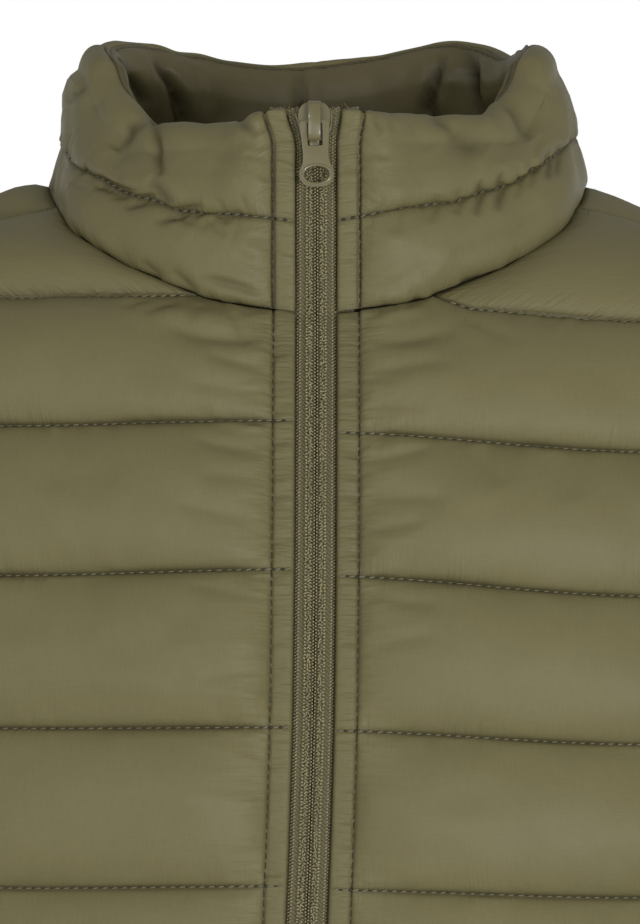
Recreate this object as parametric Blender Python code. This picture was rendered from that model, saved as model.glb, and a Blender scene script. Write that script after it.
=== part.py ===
"""Quilted long coat with a stand collar and a full front zip, filled out as it is worn.

Metres, +Z up, the front faces -Y, +X is the viewer's right. The origin is the middle of the neck at the height
of the high shoulder points, where the coat is carried. Every panel is a closed wall: an outer skin that is puffed
between the stitched lines, and an inner skin WALL behind those lines.
"""
import math

import bmesh
import bpy
import numpy as np
from mathutils import Matrix, Vector

# ---------------------------------------------------------------- driving sizes
WALL = 0.0020          # thickness of the quilt where it is stitched down
PUFF = 0.0090          # how far a channel's crest stands off the stitched surface
PUFF_COLLAR = 0.0050
SEAM_GAP = 0.0002      # half the gap between two pieces at a seam
ZIP_EDGE = 0.0066      # from the centre line to the folded edge of each front
TOPSTITCH = 0.0134     # from the centre line to the end of the flat strip
STRIP_RAMP = 0.0260    # where a channel is nearly full again
INNER_COL = 0.0430     # where the first quilting line leaves the neck seam
CHANNEL = 0.0485       # distance between quilting lines below the chest
N_LINES = 22           # the last one is the hem
SQUARE = 2.2           # superellipse exponent of the body's rings
SHOULDER_Y = -0.0240   # the shoulder seam lies this far forward of the ridge
TIP_Z, UNDERARM_Z, ARMHOLE_Y = -0.0440, -0.2190, 0.0550
SHOULDER_THETA = 14.0  # armhole angle where the shoulder seam ends, degrees from the top
SPLAY = 14.0           # sleeves stand out from the body, degrees
SLEEVE_LEN = 0.615     # from the shoulder tip down to the cuff
SLEEVE_CHANNEL = 0.0475
TAPE_IN, TAPE_OUT = 0.0003, 0.0120
TAPE_FRONT, TAPE_BACK = 0.0032, 0.0039
CHAIN_HALF, CHAIN_FRONT, CHAIN_BACK = 0.00315, 0.0004, 0.0029
PULL_Z = 0.0198        # height of the pull tab's bar

# body rings: depth below the neck point, half width, front depth, back depth
BODY = (
    (-0.0025, 0.0870, 0.0300, 0.0300),
    (0.0020, 0.0935, 0.0370, 0.0370),
    (0.0065, 0.1020, 0.0440, 0.0450),
    (0.0160, 0.1240, 0.0560, 0.0580),
    (0.0300, 0.1570, 0.0700, 0.0720),
    (0.0440, 0.1900, 0.0810, 0.0820),
    (0.0600, 0.1940, 0.0890, 0.0900),
    (0.1000, 0.1970, 0.1040, 0.1030),
    (0.1500, 0.2000, 0.1150, 0.1110),
    (0.2190, 0.2030, 0.1200, 0.1130),
    (0.2650, 0.1990, 0.1200, 0.1100),
    (0.3200, 0.1950, 0.1160, 0.1060),
    (0.4200, 0.1940, 0.1080, 0.1000),
    (0.5200, 0.2070, 0.1120, 0.1100),
    (0.6200, 0.2250, 0.1200, 0.1240),
    (0.8000, 0.2420, 0.1300, 0.1360),
    (1.0600, 0.2620, 0.1430, 0.1500),
)
# quilting lines of the fronts: left centre, left outer, right centre, right outer, side seam or armhole (both sides)
LINES = (
    (-0.0336, -0.0352, -0.0352, -0.0425, -0.0550),
    (-0.0731, -0.0750, -0.0768, -0.0830, -0.0810),
    (-0.1189, -0.1212, -0.1210, -0.1275, -0.1265),
    (-0.1673, -0.1680, -0.1683, -0.1730, -0.1735),
    (-0.2158, -0.2170, -0.2169, -0.2200, -0.2190),
)
# neck seam: angle round the neck from the front, height
NECK_HALF = 0.0874
NECK = (
    (0, -0.0401), (22, -0.0353), (30, -0.0312), (41, -0.0258), (50.5, -0.0205), (61.8, -0.0138),
    (73, -0.0055), (90, 0.0024), (110, -0.0030), (130, -0.0110), (155, -0.0180), (180, -0.0210),
)
# collar's middle seam and its rim: angle, half width, front depth, back depth are shared; height by angle
MID_PLAN = (0.0828, 0.0775, 0.0610)
MID = (
    (0, -0.0100), (18.5, -0.0073), (29, -0.0066), (37.5, -0.0032), (46, -0.0013), (54, 0.0033),
    (68, 0.0110), (80, 0.0165), (90, 0.0185), (120, 0.0175), (150, 0.0155), (180, 0.0145),
)
RIM_PLAN = (0.0720, 0.0690, 0.0580)
RIM = (
    (0, 0.0240), (10, 0.0235), (16, 0.0215), (30, 0.0210), (48, 0.0215), (58, 0.0285), (67, 0.0365),
    (73, 0.0430), (90, 0.0480), (110, 0.0490), (130, 0.0510), (145, 0.0500), (165, 0.0475), (180, 0.0465),
)
# the zip's line swings a little to the left low on the chest: depth, shift
ZIP_LINE = ((-0.03, 0.0), (0.035, 0.0), (0.100, -0.0002), (0.160, -0.0008), (0.200, -0.0019), (0.230, -0.0030),
            (0.300, -0.0045), (0.400, -0.0040), (0.600, -0.0010), (0.800, 0.0), (1.100, 0.0))
# profile of the zip: height, front depth, upwards from just under the neck seam
ZIP_PROFILE_TOP = ((-0.0401, 0.0783), (-0.0350, 0.0776), (-0.0250, 0.0772), (-0.0100, 0.0765), (0.0260, 0.0728))
# sleeve: distance down from the shoulder tip, outer reach, half width, half depth, forward swing
SLEEVE = (
    (0.000, 0.0000, 0.0200, 0.0160, 0.0000),
    (0.020, 0.0280, 0.0300, 0.0340, 0.0000),
    (0.050, 0.0600, 0.0450, 0.0500, 0.0000),
    (0.090, 0.0840, 0.0560, 0.0600, 0.0000),
    (0.130, 0.0950, 0.0620, 0.0640, 0.0000),
    (0.173, 0.0983, 0.0640, 0.0640, 0.0000),
    (0.300, 0.0950, 0.0600, 0.0600, 0.0050),
    (0.420, 0.0905, 0.0550, 0.0550, 0.0160),
    (0.620, 0.0840, 0.0490, 0.0480, 0.0400),
)

CLOTH = (0.165, 0.150, 0.080)
CLOTH_DARK = (0.062, 0.055, 0.030)
ZIP_CLOTH = (0.100, 0.088, 0.044)
ZIP_HARD = (0.131, 0.117, 0.057)


# ---------------------------------------------------------------- tables and curves
def read(table, x, column=1):
    """A smooth, never overshooting curve through one column of a table, read at x."""
    xs = np.array([r[0] for r in table], float)
    ys = np.array([r[column] for r in table], float)
    h, d = np.diff(xs), np.diff(ys) / np.diff(xs)
    m = np.zeros_like(ys)
    m[0], m[-1] = d[0], d[-1]
    for i in range(1, len(xs) - 1):
        if d[i - 1] * d[i] > 0:
            w1, w2 = 2 * h[i] + h[i - 1], h[i] + 2 * h[i - 1]
            m[i] = (w1 + w2) / (w1 / d[i - 1] + w2 / d[i])
    x = float(min(max(x, xs[0]), xs[-1]))
    i = int(min(np.searchsorted(xs, x, side="right") - 1, len(xs) - 2))
    t = (x - xs[i]) / h[i]
    return float(ys[i] * (1 + 2 * t) * (1 - t) ** 2 + m[i] * h[i] * t * (1 - t) ** 2
                 + ys[i + 1] * t * t * (3 - 2 * t) + m[i + 1] * h[i] * t * t * (t - 1))


def step(x, lo, hi):
    t = min(max((x - lo) / (hi - lo), 0.0), 1.0)
    return t * t * (3 - 2 * t)


def lerp(a, b, t):
    return a + (b - a) * t


def zip_shift(z, x):
    return read(ZIP_LINE, -z) * (1 - step(abs(x), 0.02, 0.09))


def ring(phi, z):
    """The stitched surface of the body at angle phi (degrees from the front, + to the right) and height z."""
    a = read(BODY, -z, 1)
    s, c = math.sin(math.radians(phi)), math.cos(math.radians(phi))
    b = read(BODY, -z, 2 if c >= 0 else 3)
    x = a * math.copysign(abs(s) ** (2 / SQUARE), s)
    y = -b * math.copysign(abs(c) ** (2 / SQUARE), c)
    return Vector((x + (zip_shift(z, x) if c > 0 else 0.0), y, z))


def phi_of_x(x, z):
    return math.degrees(math.asin(min(abs(x) / read(BODY, -z, 1), 1.0) ** (SQUARE / 2)))


def phi_of_y(y, z):
    """Angle from the front at which the ring at height z has this y, on the right side."""
    b = read(BODY, -z, 2 if y <= 0 else 3)
    c = min(abs(y) / b, 1.0) ** (SQUARE / 2)
    return math.degrees(math.acos(c if y <= 0 else -c))


def normal(phi, z):
    e, f = 0.4, 0.0008
    u = ring(phi + e, z) - ring(phi - e, z)
    v = ring(phi, z + f) - ring(phi, z - f)
    n = u.cross(v).normalized()
    out = Vector((math.sin(math.radians(phi)), -math.cos(math.radians(phi)), 0.0))
    return n if n.dot(out) > 0 else -n


def line_z(k, side, x):
    """Height of quilting line k (1 is the first) of the front on one side, at x from the zip."""
    low = max(k - 5, 0) * CHANNEL
    row = LINES[min(k, 5) - 1]
    centre, outer = (row[0], row[1]) if side < 0 else (row[2], row[3])
    fade = 1 - step(k, 5, 9)
    base = row[4] if k >= 5 else None
    t, u = step(abs(x), 0.0, 0.105), step(abs(x), 0.105, 0.190)
    z = lerp(centre, outer, t)
    z = lerp(z, row[4], u)
    if base is not None and k > 5:
        z = lerp(base, z, fade)
    return z - low


def side_z(k):
    return LINES[min(k, 5) - 1][4] - max(k - 5, 0) * CHANNEL


def puff_row(t):
    """0 at the stitched lines, 1 in the middle of the channel."""
    return max(1 - (2 * t - 1) ** 2, 0.0) ** 0.55


def armhole(theta, side):
    """Point of the armhole: theta is degrees from the shoulder tip, + to the front."""
    mid, half = (TIP_Z + UNDERARM_Z) / 2, (TIP_Z - UNDERARM_Z) / 2
    z = mid + half * math.cos(math.radians(theta))
    y = -ARMHOLE_Y * math.sin(math.radians(theta))
    p = ring(phi_of_y(y, z), z)
    return Vector((side * abs(p.x), y, z))


def armhole_inward(p):
    return Vector((0.0, -p.y, (TIP_Z + UNDERARM_Z) / 2 - p.z)).normalized()


def theta_of_z(z):
    mid, half = (TIP_Z + UNDERARM_Z) / 2, (TIP_Z - UNDERARM_Z) / 2
    return math.degrees(math.acos(min(max((z - mid) / half, -1.0), 1.0)))


def armhole_theta(k, t):
    """Armhole angle of row t of channel k (0 is the one over the shoulder), evenly spaced in height below it."""
    if k <= 0:
        return lerp(SHOULDER_THETA, theta_of_z(side_z(1)), t)
    return theta_of_z(lerp(side_z(k), side_z(k + 1), t))


def neck(psi):
    """Point of the neck seam, on the body's surface."""
    x = NECK_HALF * math.sin(math.radians(psi))
    z = read(NECK, abs(psi))
    phi = phi_of_x(x, z)
    if abs(psi) > 90:
        phi = 180 - phi
    p = ring(math.copysign(phi, psi), z)
    return Vector((x, p.y, z))


def neck_inward(p):
    return Vector((-p.x, -0.008 - p.y, 0.0)).normalized()


def psi_of_x(x):
    return math.degrees(math.asin(min(abs(x) / NECK_HALF, 1.0)))


# ---------------------------------------------------------------- solids
def clear_scene():
    for ob in list(bpy.data.objects):
        bpy.data.objects.remove(ob, do_unlink=True)


def material(name, colour, roughness, metallic=0.0):
    m = bpy.data.materials.new(name)
    m.use_nodes = True
    b = m.node_tree.nodes["Principled BSDF"]
    b.inputs["Base Color"].default_value = (*colour, 1.0)
    b.inputs["Roughness"].default_value = roughness
    b.inputs["Metallic"].default_value = metallic
    return m


def solid(name, verts, faces, mat, smooth=30.0):
    me = bpy.data.meshes.new(name)
    bm = bmesh.new()
    vs = [bm.verts.new(v) for v in verts]
    for f in faces:
        if len(set(f)) == len(f):
            bm.faces.new([vs[i] for i in f])
    for v in [v for v in bm.verts if not v.link_faces]:
        bm.verts.remove(v)
    bmesh.ops.recalc_face_normals(bm, faces=bm.faces[:])
    if bm.calc_volume(signed=True) < 0:
        bmesh.ops.reverse_faces(bm, faces=bm.faces[:])
    bm.to_mesh(me)
    bm.free()
    me.shade_smooth()
    me.set_sharp_from_angle(angle=math.radians(smooth))
    ob = bpy.data.objects.new(name, me)
    bpy.context.scene.collection.objects.link(ob)
    me.materials.append(mat)
    return ob


def quilt(name, outer, inner, keys, cell, mat, closed_from=None):
    """A wall from rows of points. outer has every row, inner only the stitched rows keys.

    cell(channel, column) says which cells exist. From the stitched row closed_from on, the last column is the
    first one again, so the wall is a tube there.
    """
    n = len(outer[0]) - 1
    verts, index = [], {}

    def vertex(layer, i, j):
        key_row = i if layer else None
        if closed_from is not None and j == n:
            if (layer and key_row >= closed_from) or (not layer and i >= keys[closed_from]):
                j = 0
        if (layer, i, j) not in index:
            index[(layer, i, j)] = len(verts)
            verts.append((inner if layer else outer)[i][j])
        return index[(layer, i, j)]

    faces = []

    def quad(a, b, c, d):
        for f in ((a, b, c), (a, c, d)):
            if len(set(f)) == 3:
                faces.append(f)

    last = len(keys) - 1
    for k in range(last):
        for j in range(n):
            if not cell(k, j):
                continue
            for i in range(keys[k], keys[k + 1]):
                quad(vertex(0, i, j), vertex(0, i, j + 1), vertex(0, i + 1, j + 1), vertex(0, i + 1, j))
            quad(vertex(1, k, j), vertex(1, k + 1, j), vertex(1, k + 1, j + 1), vertex(1, k, j + 1))
            tube = closed_from is not None and k >= closed_from
            for edge, there in ((j, j > 0 and cell(k, j - 1)), (j + 1, j < n - 1 and cell(k, j + 1))):
                if there or (tube and edge in (0, n)):
                    continue
                hub = vertex(1, k, edge)
                rim = [vertex(0, i, edge) for i in range(keys[k], keys[k + 1] + 1)] + [vertex(1, k + 1, edge)]
                for a, b in zip(rim, rim[1:]):
                    faces.append((hub, a, b) if edge == j else (hub, b, a))
            for row, i, there in ((k, keys[k], k > 0 and cell(k - 1, j)),
                                  (k + 1, keys[k + 1], k + 1 < last and cell(k + 1, j))):
                if not there:
                    quad(vertex(0, i, j), vertex(0, i, j + 1), vertex(1, row, j + 1), vertex(1, row, j))
    return solid(name, verts, faces, mat)


def loft(name, sections, mat, smooth=30.0, turned=()):
    """A bar through closed sections that all have the same number of points. Columns in turned split the other way."""
    m = len(sections[0])
    verts = [p for s in sections for p in s]
    faces = []
    for i in range(len(sections) - 1):
        for j in range(m):
            a, b = i * m + j, i * m + (j + 1) % m
            faces += [(a, b, a + m), (b, b + m, a + m)] if j in turned else [(a, b, b + m), (a, b + m, a + m)]
    faces.append(tuple(range(m)))
    faces.append(tuple((len(sections) - 1) * m + j for j in range(m))[::-1])
    return solid(name, verts, faces, mat, smooth)


# ---------------------------------------------------------------- fronts
ROWS_FULL = (0.0, 1 / 3, 2 / 3)     # rows in one channel
ROWS_LOW = (0.0, 0.5)              # and in the plain channels below the chest
LOW_FROM = 6


def rows_of(k):
    return ROWS_FULL if k < LOW_FROM else ROWS_LOW


OUTER_FRACTIONS = (0.0, 0.30, 0.60, 0.88, 1.0)   # columns from INNER_COL to the outer edge
N_FRONT = 3 + len(OUTER_FRACTIONS) - 1


def front_edge(k, t):
    """Outer end of row (k, t) of a front: angle, height and whether it is on the armhole."""
    if k < 5:
        th = armhole_theta(k, t)
    else:
        return 90.0, lerp(side_z(k), side_z(k + 1), t), None
    p = armhole(th, 1)
    return phi_of_y(p.y, p.z), p.z, th


def shoulder(f):
    """The shoulder seam from the neck (f = 0) to the armhole (f = 1): angle and height."""
    z0 = neck(NECK_SHOULDER).z
    z1 = armhole(SHOULDER_THETA, 1).z
    z = lerp(z0, z1, f)
    y0 = neck(NECK_SHOULDER).y
    y = lerp(y0, lerp(SHOULDER_Y, armhole(SHOULDER_THETA, 1).y, step(f, 0.75, 1.0)), step(f, 0.0, 0.2))
    return phi_of_y(y, z), z


NECK_SHOULDER = 74.0   # angle round the neck where the shoulder seam starts
NECK_LINE1 = 30.0      # where the front's first quilting line starts on the neck seam
NECK_BACK_LINE = 112.0  # where the back's first line starts on the neck seam


def front_row(k, t, side):
    """(angle, height) of every column of one row; None where the row has no such column."""
    row = []
    phi_e, z_e, th = front_edge(k, t)
    for x in (ZIP_EDGE, TOPSTITCH, STRIP_RAMP):
        if k == 0:
            row.append(None)
            continue
        top = read(NECK, psi_of_x(x)) if k == 1 else line_z(k, side, x)
        z = lerp(top, line_z(k + 1, side, x), t) if t else top
        row.append((phi_of_x(x, z), z))
    if k == 0:
        psi = lerp(NECK_SHOULDER, NECK_LINE1, t)
        p = neck(psi)
        first = (phi_of_x(p.x, p.z), p.z)
    else:
        top = read(NECK, NECK_LINE1) if k == 1 else line_z(k, side, INNER_COL)
        z = lerp(top, line_z(k + 1, side, INNER_COL), t) if t else top
        first = (phi_of_x(INNER_COL, z), z)
    for f in OUTER_FRACTIONS:
        if k == 0:
            top = shoulder(f)
            low_phi = lerp(phi_of_x(INNER_COL, line_z(1, side, INNER_COL)), phi_of_y(armhole(theta_of_z(side_z(1)), 1).y, side_z(1)), f)
            x_low = abs(ring(low_phi, line_z(1, side, 0.1)).x)
            low = (low_phi, lerp(read(NECK, NECK_LINE1), line_z(1, side, x_low), step(f, 0.0, 0.12)) if f else read(NECK, NECK_LINE1))
            q = (lerp(top[0], low[0], t), lerp(top[1], low[1], t))
        else:
            phi = lerp(first[0], phi_e, f)
            zz = lerp(first[1], z_e, f)
            for _ in range(4):
                x = abs(ring(phi, zz).x)
                top = line_z(k, side, x)
                if k == 1 and f == 0:
                    top = read(NECK, NECK_LINE1)
                zz = lerp(top, line_z(k + 1, side, x), t)
            q = (phi, zz)
        if f == 0:
            q = first
        elif f == 1:
            q = (phi_e, z_e)
        else:
            end = lerp(line_z(k, side, 0.19) if k else z_e, line_z(k + 1, side, 0.19), t) if k else z_e
            q = (q[0], q[1] + (z_e - end) * f ** 4)
        row.append(q)
    return row


def stack(points, first):
    """All rows of a panel. The inner skin follows every row next to the armhole, and the stitched rows below it."""
    outer, inner, keys = [], [], []
    for k in range(first, N_LINES):
        for t in rows_of(k):
            outer.append(points(k, t, False))
            if t == 0 or k < 5:
                keys.append(len(outer) - 1)
                inner.append(points(k, t, True))
    outer.append(points(N_LINES - 1, 1.0, False))
    keys.append(len(outer) - 1)
    inner.append(points(N_LINES - 1, 1.0, True))
    return outer, inner, keys


def build_front(name, side, mat):
    outer, inner, keys = stack(lambda k, t, inside: front_points(k, t, side, inside), 0)
    return quilt(name, outer, inner, keys, lambda i, j: i > 2 or j >= 3, mat)


def front_points(k, t, side, inner=False):
    pts = []
    row = front_row(k, t, side)
    for j, q in enumerate(row):
        if q is None:
            pts.append(None)
            continue
        phi, z = q
        p, n = ring(side * phi, z), normal(side * phi, z)
        on_neck = (k == 0 and j == 3) or (k == 1 and t == 0 and j <= 3)
        if k == 0 and t == 0 and j == 3:
            p = neck(side * NECK_SHOULDER)
        if on_neck:
            if inner:
                p = p + neck_inward(p) * WALL
            p = p - Vector((0, 0, SEAM_GAP))
            if k == 0 and t == 0:
                p = p - Vector((0, SEAM_GAP, 0))
        elif j == N_FRONT:
            if k < 5:
                th = front_edge(k, t)[2]
                p = armhole(th, side)
                p = p + (armhole_inward(p) * WALL if inner else Vector()) - Vector((side * SEAM_GAP, SEAM_GAP if (k == 0 and t == 0) else 0, 0))
            elif k == 5 and t == 0:
                p = armhole(180.0, side)
                p = p + (Vector((0, 0, WALL)) if inner else Vector()) - Vector((side * SEAM_GAP, SEAM_GAP, 0))
            else:
                p = Vector((p.x - (side * WALL if inner else 0), -SEAM_GAP, p.z))
        elif k == 0 and t == 0:
            p = p - (n * WALL if inner else Vector()) - Vector((0, SEAM_GAP, 0))
        elif inner:
            p = p - n * WALL
        else:
            gain = (0, 0, 0.85, 1, 1, 1, 1, 0)[j] if j < N_FRONT else 0
            if k == 0 and j == 3:
                gain = 0
            if j == N_FRONT - 1:
                gain = 0.8 * lerp(0.2, 1.0, step(UNDERARM_Z - z, 0.0, 0.10)) if z < UNDERARM_Z + 0.035 else 0.7
            p = p + n * PUFF * puff_row(t) * gain
        pts.append(p)
    return pts


# ---------------------------------------------------------------- back
BACK_SIDE = (1.0, 0.68, 0.45, 0.22, 0.0)          # wing columns, armhole inwards
BACK_TOP = tuple(reversed(OUTER_FRACTIONS))       # the same columns on the shoulder seam
BACK_CENTRE = (0.55, 0.0)                         # columns across the middle, half of them
BACK_LINES = (-0.0560, -0.0840, -0.1270, -0.1740, -0.2190)   # at the centre back


def back_line_z(k, phi):
    """Height of the back's quilting line k at angle phi (90 is the side seam, 180 the centre back)."""
    if k <= 5:
        centre, edge = BACK_LINES[k - 1], side_z(k)
    else:
        centre = edge = side_z(k)
    return lerp(edge, centre, step(abs(phi), 100.0, 160.0))


BACK_INNER = 126.0     # angle of the column under the neck's back corner, below the first line


def back_half(k, t):
    """(angle, height) for the columns from the right armhole to the centre back. k = -1 is the strip on the ridge."""
    out = []
    nb = len(BACK_SIDE)
    if k == -1:
        th = lerp(SHOULDER_THETA, -SHOULDER_THETA * 0.9, t)
        for f in BACK_TOP:
            phi_s, z_s = shoulder(f)
            z_b = lerp(neck(NECK_BACK_LINE).z, armhole(-SHOULDER_THETA * 0.9, 1).z, f)
            y_b = lerp(lerp(neck(NECK_BACK_LINE).y, 0.030, step(f, 0.0, 0.25)), armhole(-SHOULDER_THETA * 0.9, 1).y, step(f, 0.6, 1.0))
            phi_b = phi_of_y(y_b, z_b)
            out.append((lerp(phi_s, phi_b, t), lerp(z_s, z_b, t), th))
        out += [None] * len(BACK_CENTRE)
        return out
    if k == 0:
        th = lerp(-SHOULDER_THETA * 0.9, -theta_of_z(side_z(1)), t)
        for f_top, f in zip(BACK_TOP, BACK_SIDE):
            z_b = lerp(neck(NECK_BACK_LINE).z, armhole(-SHOULDER_THETA * 0.9, 1).z, f_top)
            y_b = lerp(lerp(neck(NECK_BACK_LINE).y, 0.030, step(f_top, 0.0, 0.25)), armhole(-SHOULDER_THETA * 0.9, 1).y, step(f_top, 0.6, 1.0))
            phi_b = phi_of_y(y_b, z_b)
            p = armhole(-theta_of_z(side_z(1)), 1)
            phi_l = lerp(BACK_INNER, phi_of_y(p.y, p.z), f)
            out.append((lerp(phi_b, phi_l, t), lerp(z_b, back_line_z(1, phi_l), t), th))
        for g in BACK_CENTRE:
            psi = lerp(180.0, NECK_BACK_LINE, g)
            p = neck(psi)
            phi_n = 180 - phi_of_x(p.x, p.z)
            phi_l = lerp(180.0, BACK_INNER, g)
            out.append((lerp(phi_n, phi_l, t), lerp(p.z, back_line_z(1, phi_l), t), None))
        return out
    if k < 5:
        th = -armhole_theta(k, t)
        p = armhole(th, 1)
        phi_e, z_e = phi_of_y(p.y, p.z), p.z
    else:
        th, phi_e, z_e = None, 90.0, lerp(side_z(k), side_z(k + 1), t)
    for f in BACK_SIDE:
        phi = lerp(BACK_INNER, phi_e, f)
        z = lerp(back_line_z(k, phi), back_line_z(k + 1, phi), t)
        if f == 1:
            z = z_e
        out.append((phi, z, th))
    for g in BACK_CENTRE:
        phi = lerp(180.0, BACK_INNER, g)
        out.append((phi, lerp(back_line_z(k, phi), back_line_z(k + 1, phi), t), th))
    return out


def back_points(k, t, inner=False):
    half = back_half(k, t)
    nb = len(BACK_SIDE)
    cols = [(-1, j) for j in range(len(half))] + [(1, j) for j in range(len(half) - 2, -1, -1)]
    pts = []
    for side, j in cols:
        q = half[j]
        if q is None:
            pts.append(None)
            continue
        phi, z, th = q
        p, n = ring(side * phi, z), normal(side * phi, z)
        on_neck = (k == -1 and j == nb - 1) or (k == 0 and t == 0 and j >= nb - 1)
        if k == -1 and j == nb - 1:
            p = neck(side * lerp(NECK_SHOULDER, NECK_BACK_LINE, t))
        elif k == 0 and t == 0 and j >= nb - 1:
            g = 1.0 if j == nb - 1 else BACK_CENTRE[j - nb]
            p = neck(side * lerp(180.0, NECK_BACK_LINE, g))
        if on_neck:
            if inner:
                p = p + neck_inward(p) * WALL
            p = p - Vector((0, 0, SEAM_GAP))
            if k == -1 and t == 0:
                p = p + Vector((0, SEAM_GAP, 0))
        elif j == 0:
            if k < 5:
                p = armhole(th, side)
                p = p + (armhole_inward(p) * WALL if inner else Vector()) - Vector((side * SEAM_GAP, -SEAM_GAP if (k == -1 and t == 0) else 0, 0))
            elif k == 5 and t == 0:
                p = armhole(180.0, side)
                p = p + (Vector((0, 0, WALL)) if inner else Vector()) - Vector((side * SEAM_GAP, -SEAM_GAP, 0))
            else:
                p = Vector((p.x - (side * WALL if inner else 0), SEAM_GAP, p.z))
        elif k == -1 and t == 0:
            p = p - (n * WALL if inner else Vector()) + Vector((0, SEAM_GAP, 0))
        elif inner:
            p = p - n * WALL
        else:
            gain = 1.0
            if j == 1:
                gain = 0.8 * lerp(0.2, 1.0, step(UNDERARM_Z - z, 0.0, 0.10)) if z < UNDERARM_Z + 0.035 else 0.7
            if k <= 0 and j == nb - 1:
                gain = 0.0 if k == -1 else 0.6
            p = p + n * PUFF * puff_row(t) * gain * (0.7 if k == -1 else 1.0)
        pts.append(p)
    return pts


def build_back(mat):
    outer, inner, keys = stack(back_points, -1)
    wing = len(BACK_SIDE) - 1
    n = 2 * (len(BACK_SIDE) + len(BACK_CENTRE)) - 2
    return quilt("back", outer, inner, keys, lambda i, j: i > 2 or j < wing or j >= n - wing, mat)


# ---------------------------------------------------------------- sleeves
N_SLEEVE = 10


def sleeve_frame(side):
    b = math.radians(SPLAY)
    tip = armhole(0.0, side)
    down = Vector((side * math.sin(b), 0, -math.cos(b)))
    out = Vector((side * math.cos(b), 0, math.sin(b)))
    return tip, down, out


def sleeve_point(side, s, alpha, radius=1.0):
    """Point of the sleeve's stitched surface: s down from the tip, alpha degrees from the outer side, + to the front."""
    tip, down, out = sleeve_frame(side)
    reach, rx, ry, fwd = (read(SLEEVE, s, c) for c in (1, 2, 3, 4))
    a = math.radians(alpha)
    return tip + down * s + out * (reach - rx + rx * radius * math.cos(a)) + Vector((0, -ry * radius * math.sin(a) - fwd, 0))


def sleeve_start(theta, side):
    """Level, angle and radius factor at which the row through this armhole point starts."""
    tip, down, out = sleeve_frame(side)
    p = armhole(theta, side) - tip
    s = p.dot(down)
    reach, rx, ry = (read(SLEEVE, s, c) for c in (1, 2, 3))
    u, v = (p.dot(out) - (reach - rx)) / rx, -p.y / ry
    return s, math.degrees(math.atan2(v, u)), math.hypot(u, v)


def sleeve_levels():
    """Quilting lines of the sleeve from the underarm down to the cuff."""
    s_under = sleeve_start(180.0, 1)[0]
    count = round((SLEEVE_LEN - s_under) / SLEEVE_CHANNEL)
    levels = [s_under + (SLEEVE_LEN - s_under) * i / count for i in range(count + 1)]
    return levels


def sleeve_normal(side, s, alpha):
    u = sleeve_point(side, s, alpha + 1) - sleeve_point(side, s, alpha - 1)
    v = sleeve_point(side, s + 0.001, alpha) - sleeve_point(side, s - 0.001, alpha)
    n = u.cross(v).normalized()
    tip, down, out = sleeve_frame(side)
    a = math.radians(alpha)
    ref = out * math.cos(a) - Vector((0, math.sin(a), 0))
    return n if n.dot(ref) > 0 else -n


def sleeve_cap_row(side, theta, t, inner=False, top=False):
    pts = []
    s, alpha0, r0 = sleeve_start(theta, side)
    for j in range(N_SLEEVE + 1):
        g = 1 - 2 * j / N_SLEEVE
        if top:
            p = armhole(theta * g, side)
            p = p + (armhole_inward(p) * WALL if inner else Vector()) + Vector((side * SEAM_GAP, 0, 0))
        elif j in (0, N_SLEEVE):
            p = armhole(math.copysign(theta, g), side)
            p = p + (armhole_inward(p) * WALL if inner else Vector()) + Vector((side * SEAM_GAP, 0, 0))
        else:
            alpha = alpha0 * g
            p = sleeve_point(side, s, alpha, 1 + (r0 - 1) * abs(g) ** 4)
            n = sleeve_normal(side, max(s, 0.012), alpha)
            if inner:
                p = p - n * WALL
            else:
                gain = 0.75 if j in (1, N_SLEEVE - 1) else 1.0
                p = p + n * PUFF * puff_row(t) * gain * (0.6 if theta < 30 else 1.0)
        pts.append(p)
    return pts


def sleeve_tube_row(side, s, t, s_under, inner=False):
    pts = []
    for j in range(N_SLEEVE + 1):
        g = 1 - 2 * j / N_SLEEVE
        alpha = 180.0 * g
        p, n = sleeve_point(side, s, alpha), sleeve_normal(side, s, alpha)
        if s - s_under < 1e-6 and j in (0, N_SLEEVE):
            p = armhole(180.0, side) + Vector((side * SEAM_GAP, 0, WALL if inner else 0))
        elif inner:
            p = p - n * WALL
        else:
            near = step(s - s_under, 0.0, 0.11)
            gain = lerp(0.22, 1.0, near) if abs(g) > 0.6 else 1.0
            p = p + n * PUFF * 0.85 * puff_row(t) * gain
        pts.append(p)
    return pts


def build_sleeve(name, side, mat):
    levels = sleeve_levels()
    outer, inner, keys = [], [], []
    for i in range(5):
        for t in ROWS_FULL:
            th = armhole_theta(i, t)
            top = i == 0 and t == 0
            outer.append(sleeve_cap_row(side, th, t, top=top))
            keys.append(len(outer) - 1)
            inner.append(sleeve_cap_row(side, th, t, inner=True, top=top))
    closed = len(keys)
    for i in range(len(levels) - 1):
        for t in (ROWS_FULL if i < 2 else ROWS_LOW):
            s = lerp(levels[i], levels[i + 1], t)
            outer.append(sleeve_tube_row(side, s, t, levels[0]))
            if t == 0:
                keys.append(len(outer) - 1)
                inner.append(sleeve_tube_row(side, s, t, levels[0], inner=True))
    outer.append(sleeve_tube_row(side, levels[-1], 1.0, levels[0]))
    keys.append(len(outer) - 1)
    inner.append(sleeve_tube_row(side, levels[-1], 1.0, levels[0], inner=True))
    return quilt(name, outer, inner, keys, lambda k, j: True, mat, closed_from=closed)


# ---------------------------------------------------------------- collar and facing
COLLAR_X = (ZIP_EDGE, TOPSTITCH, STRIP_RAMP)
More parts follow.
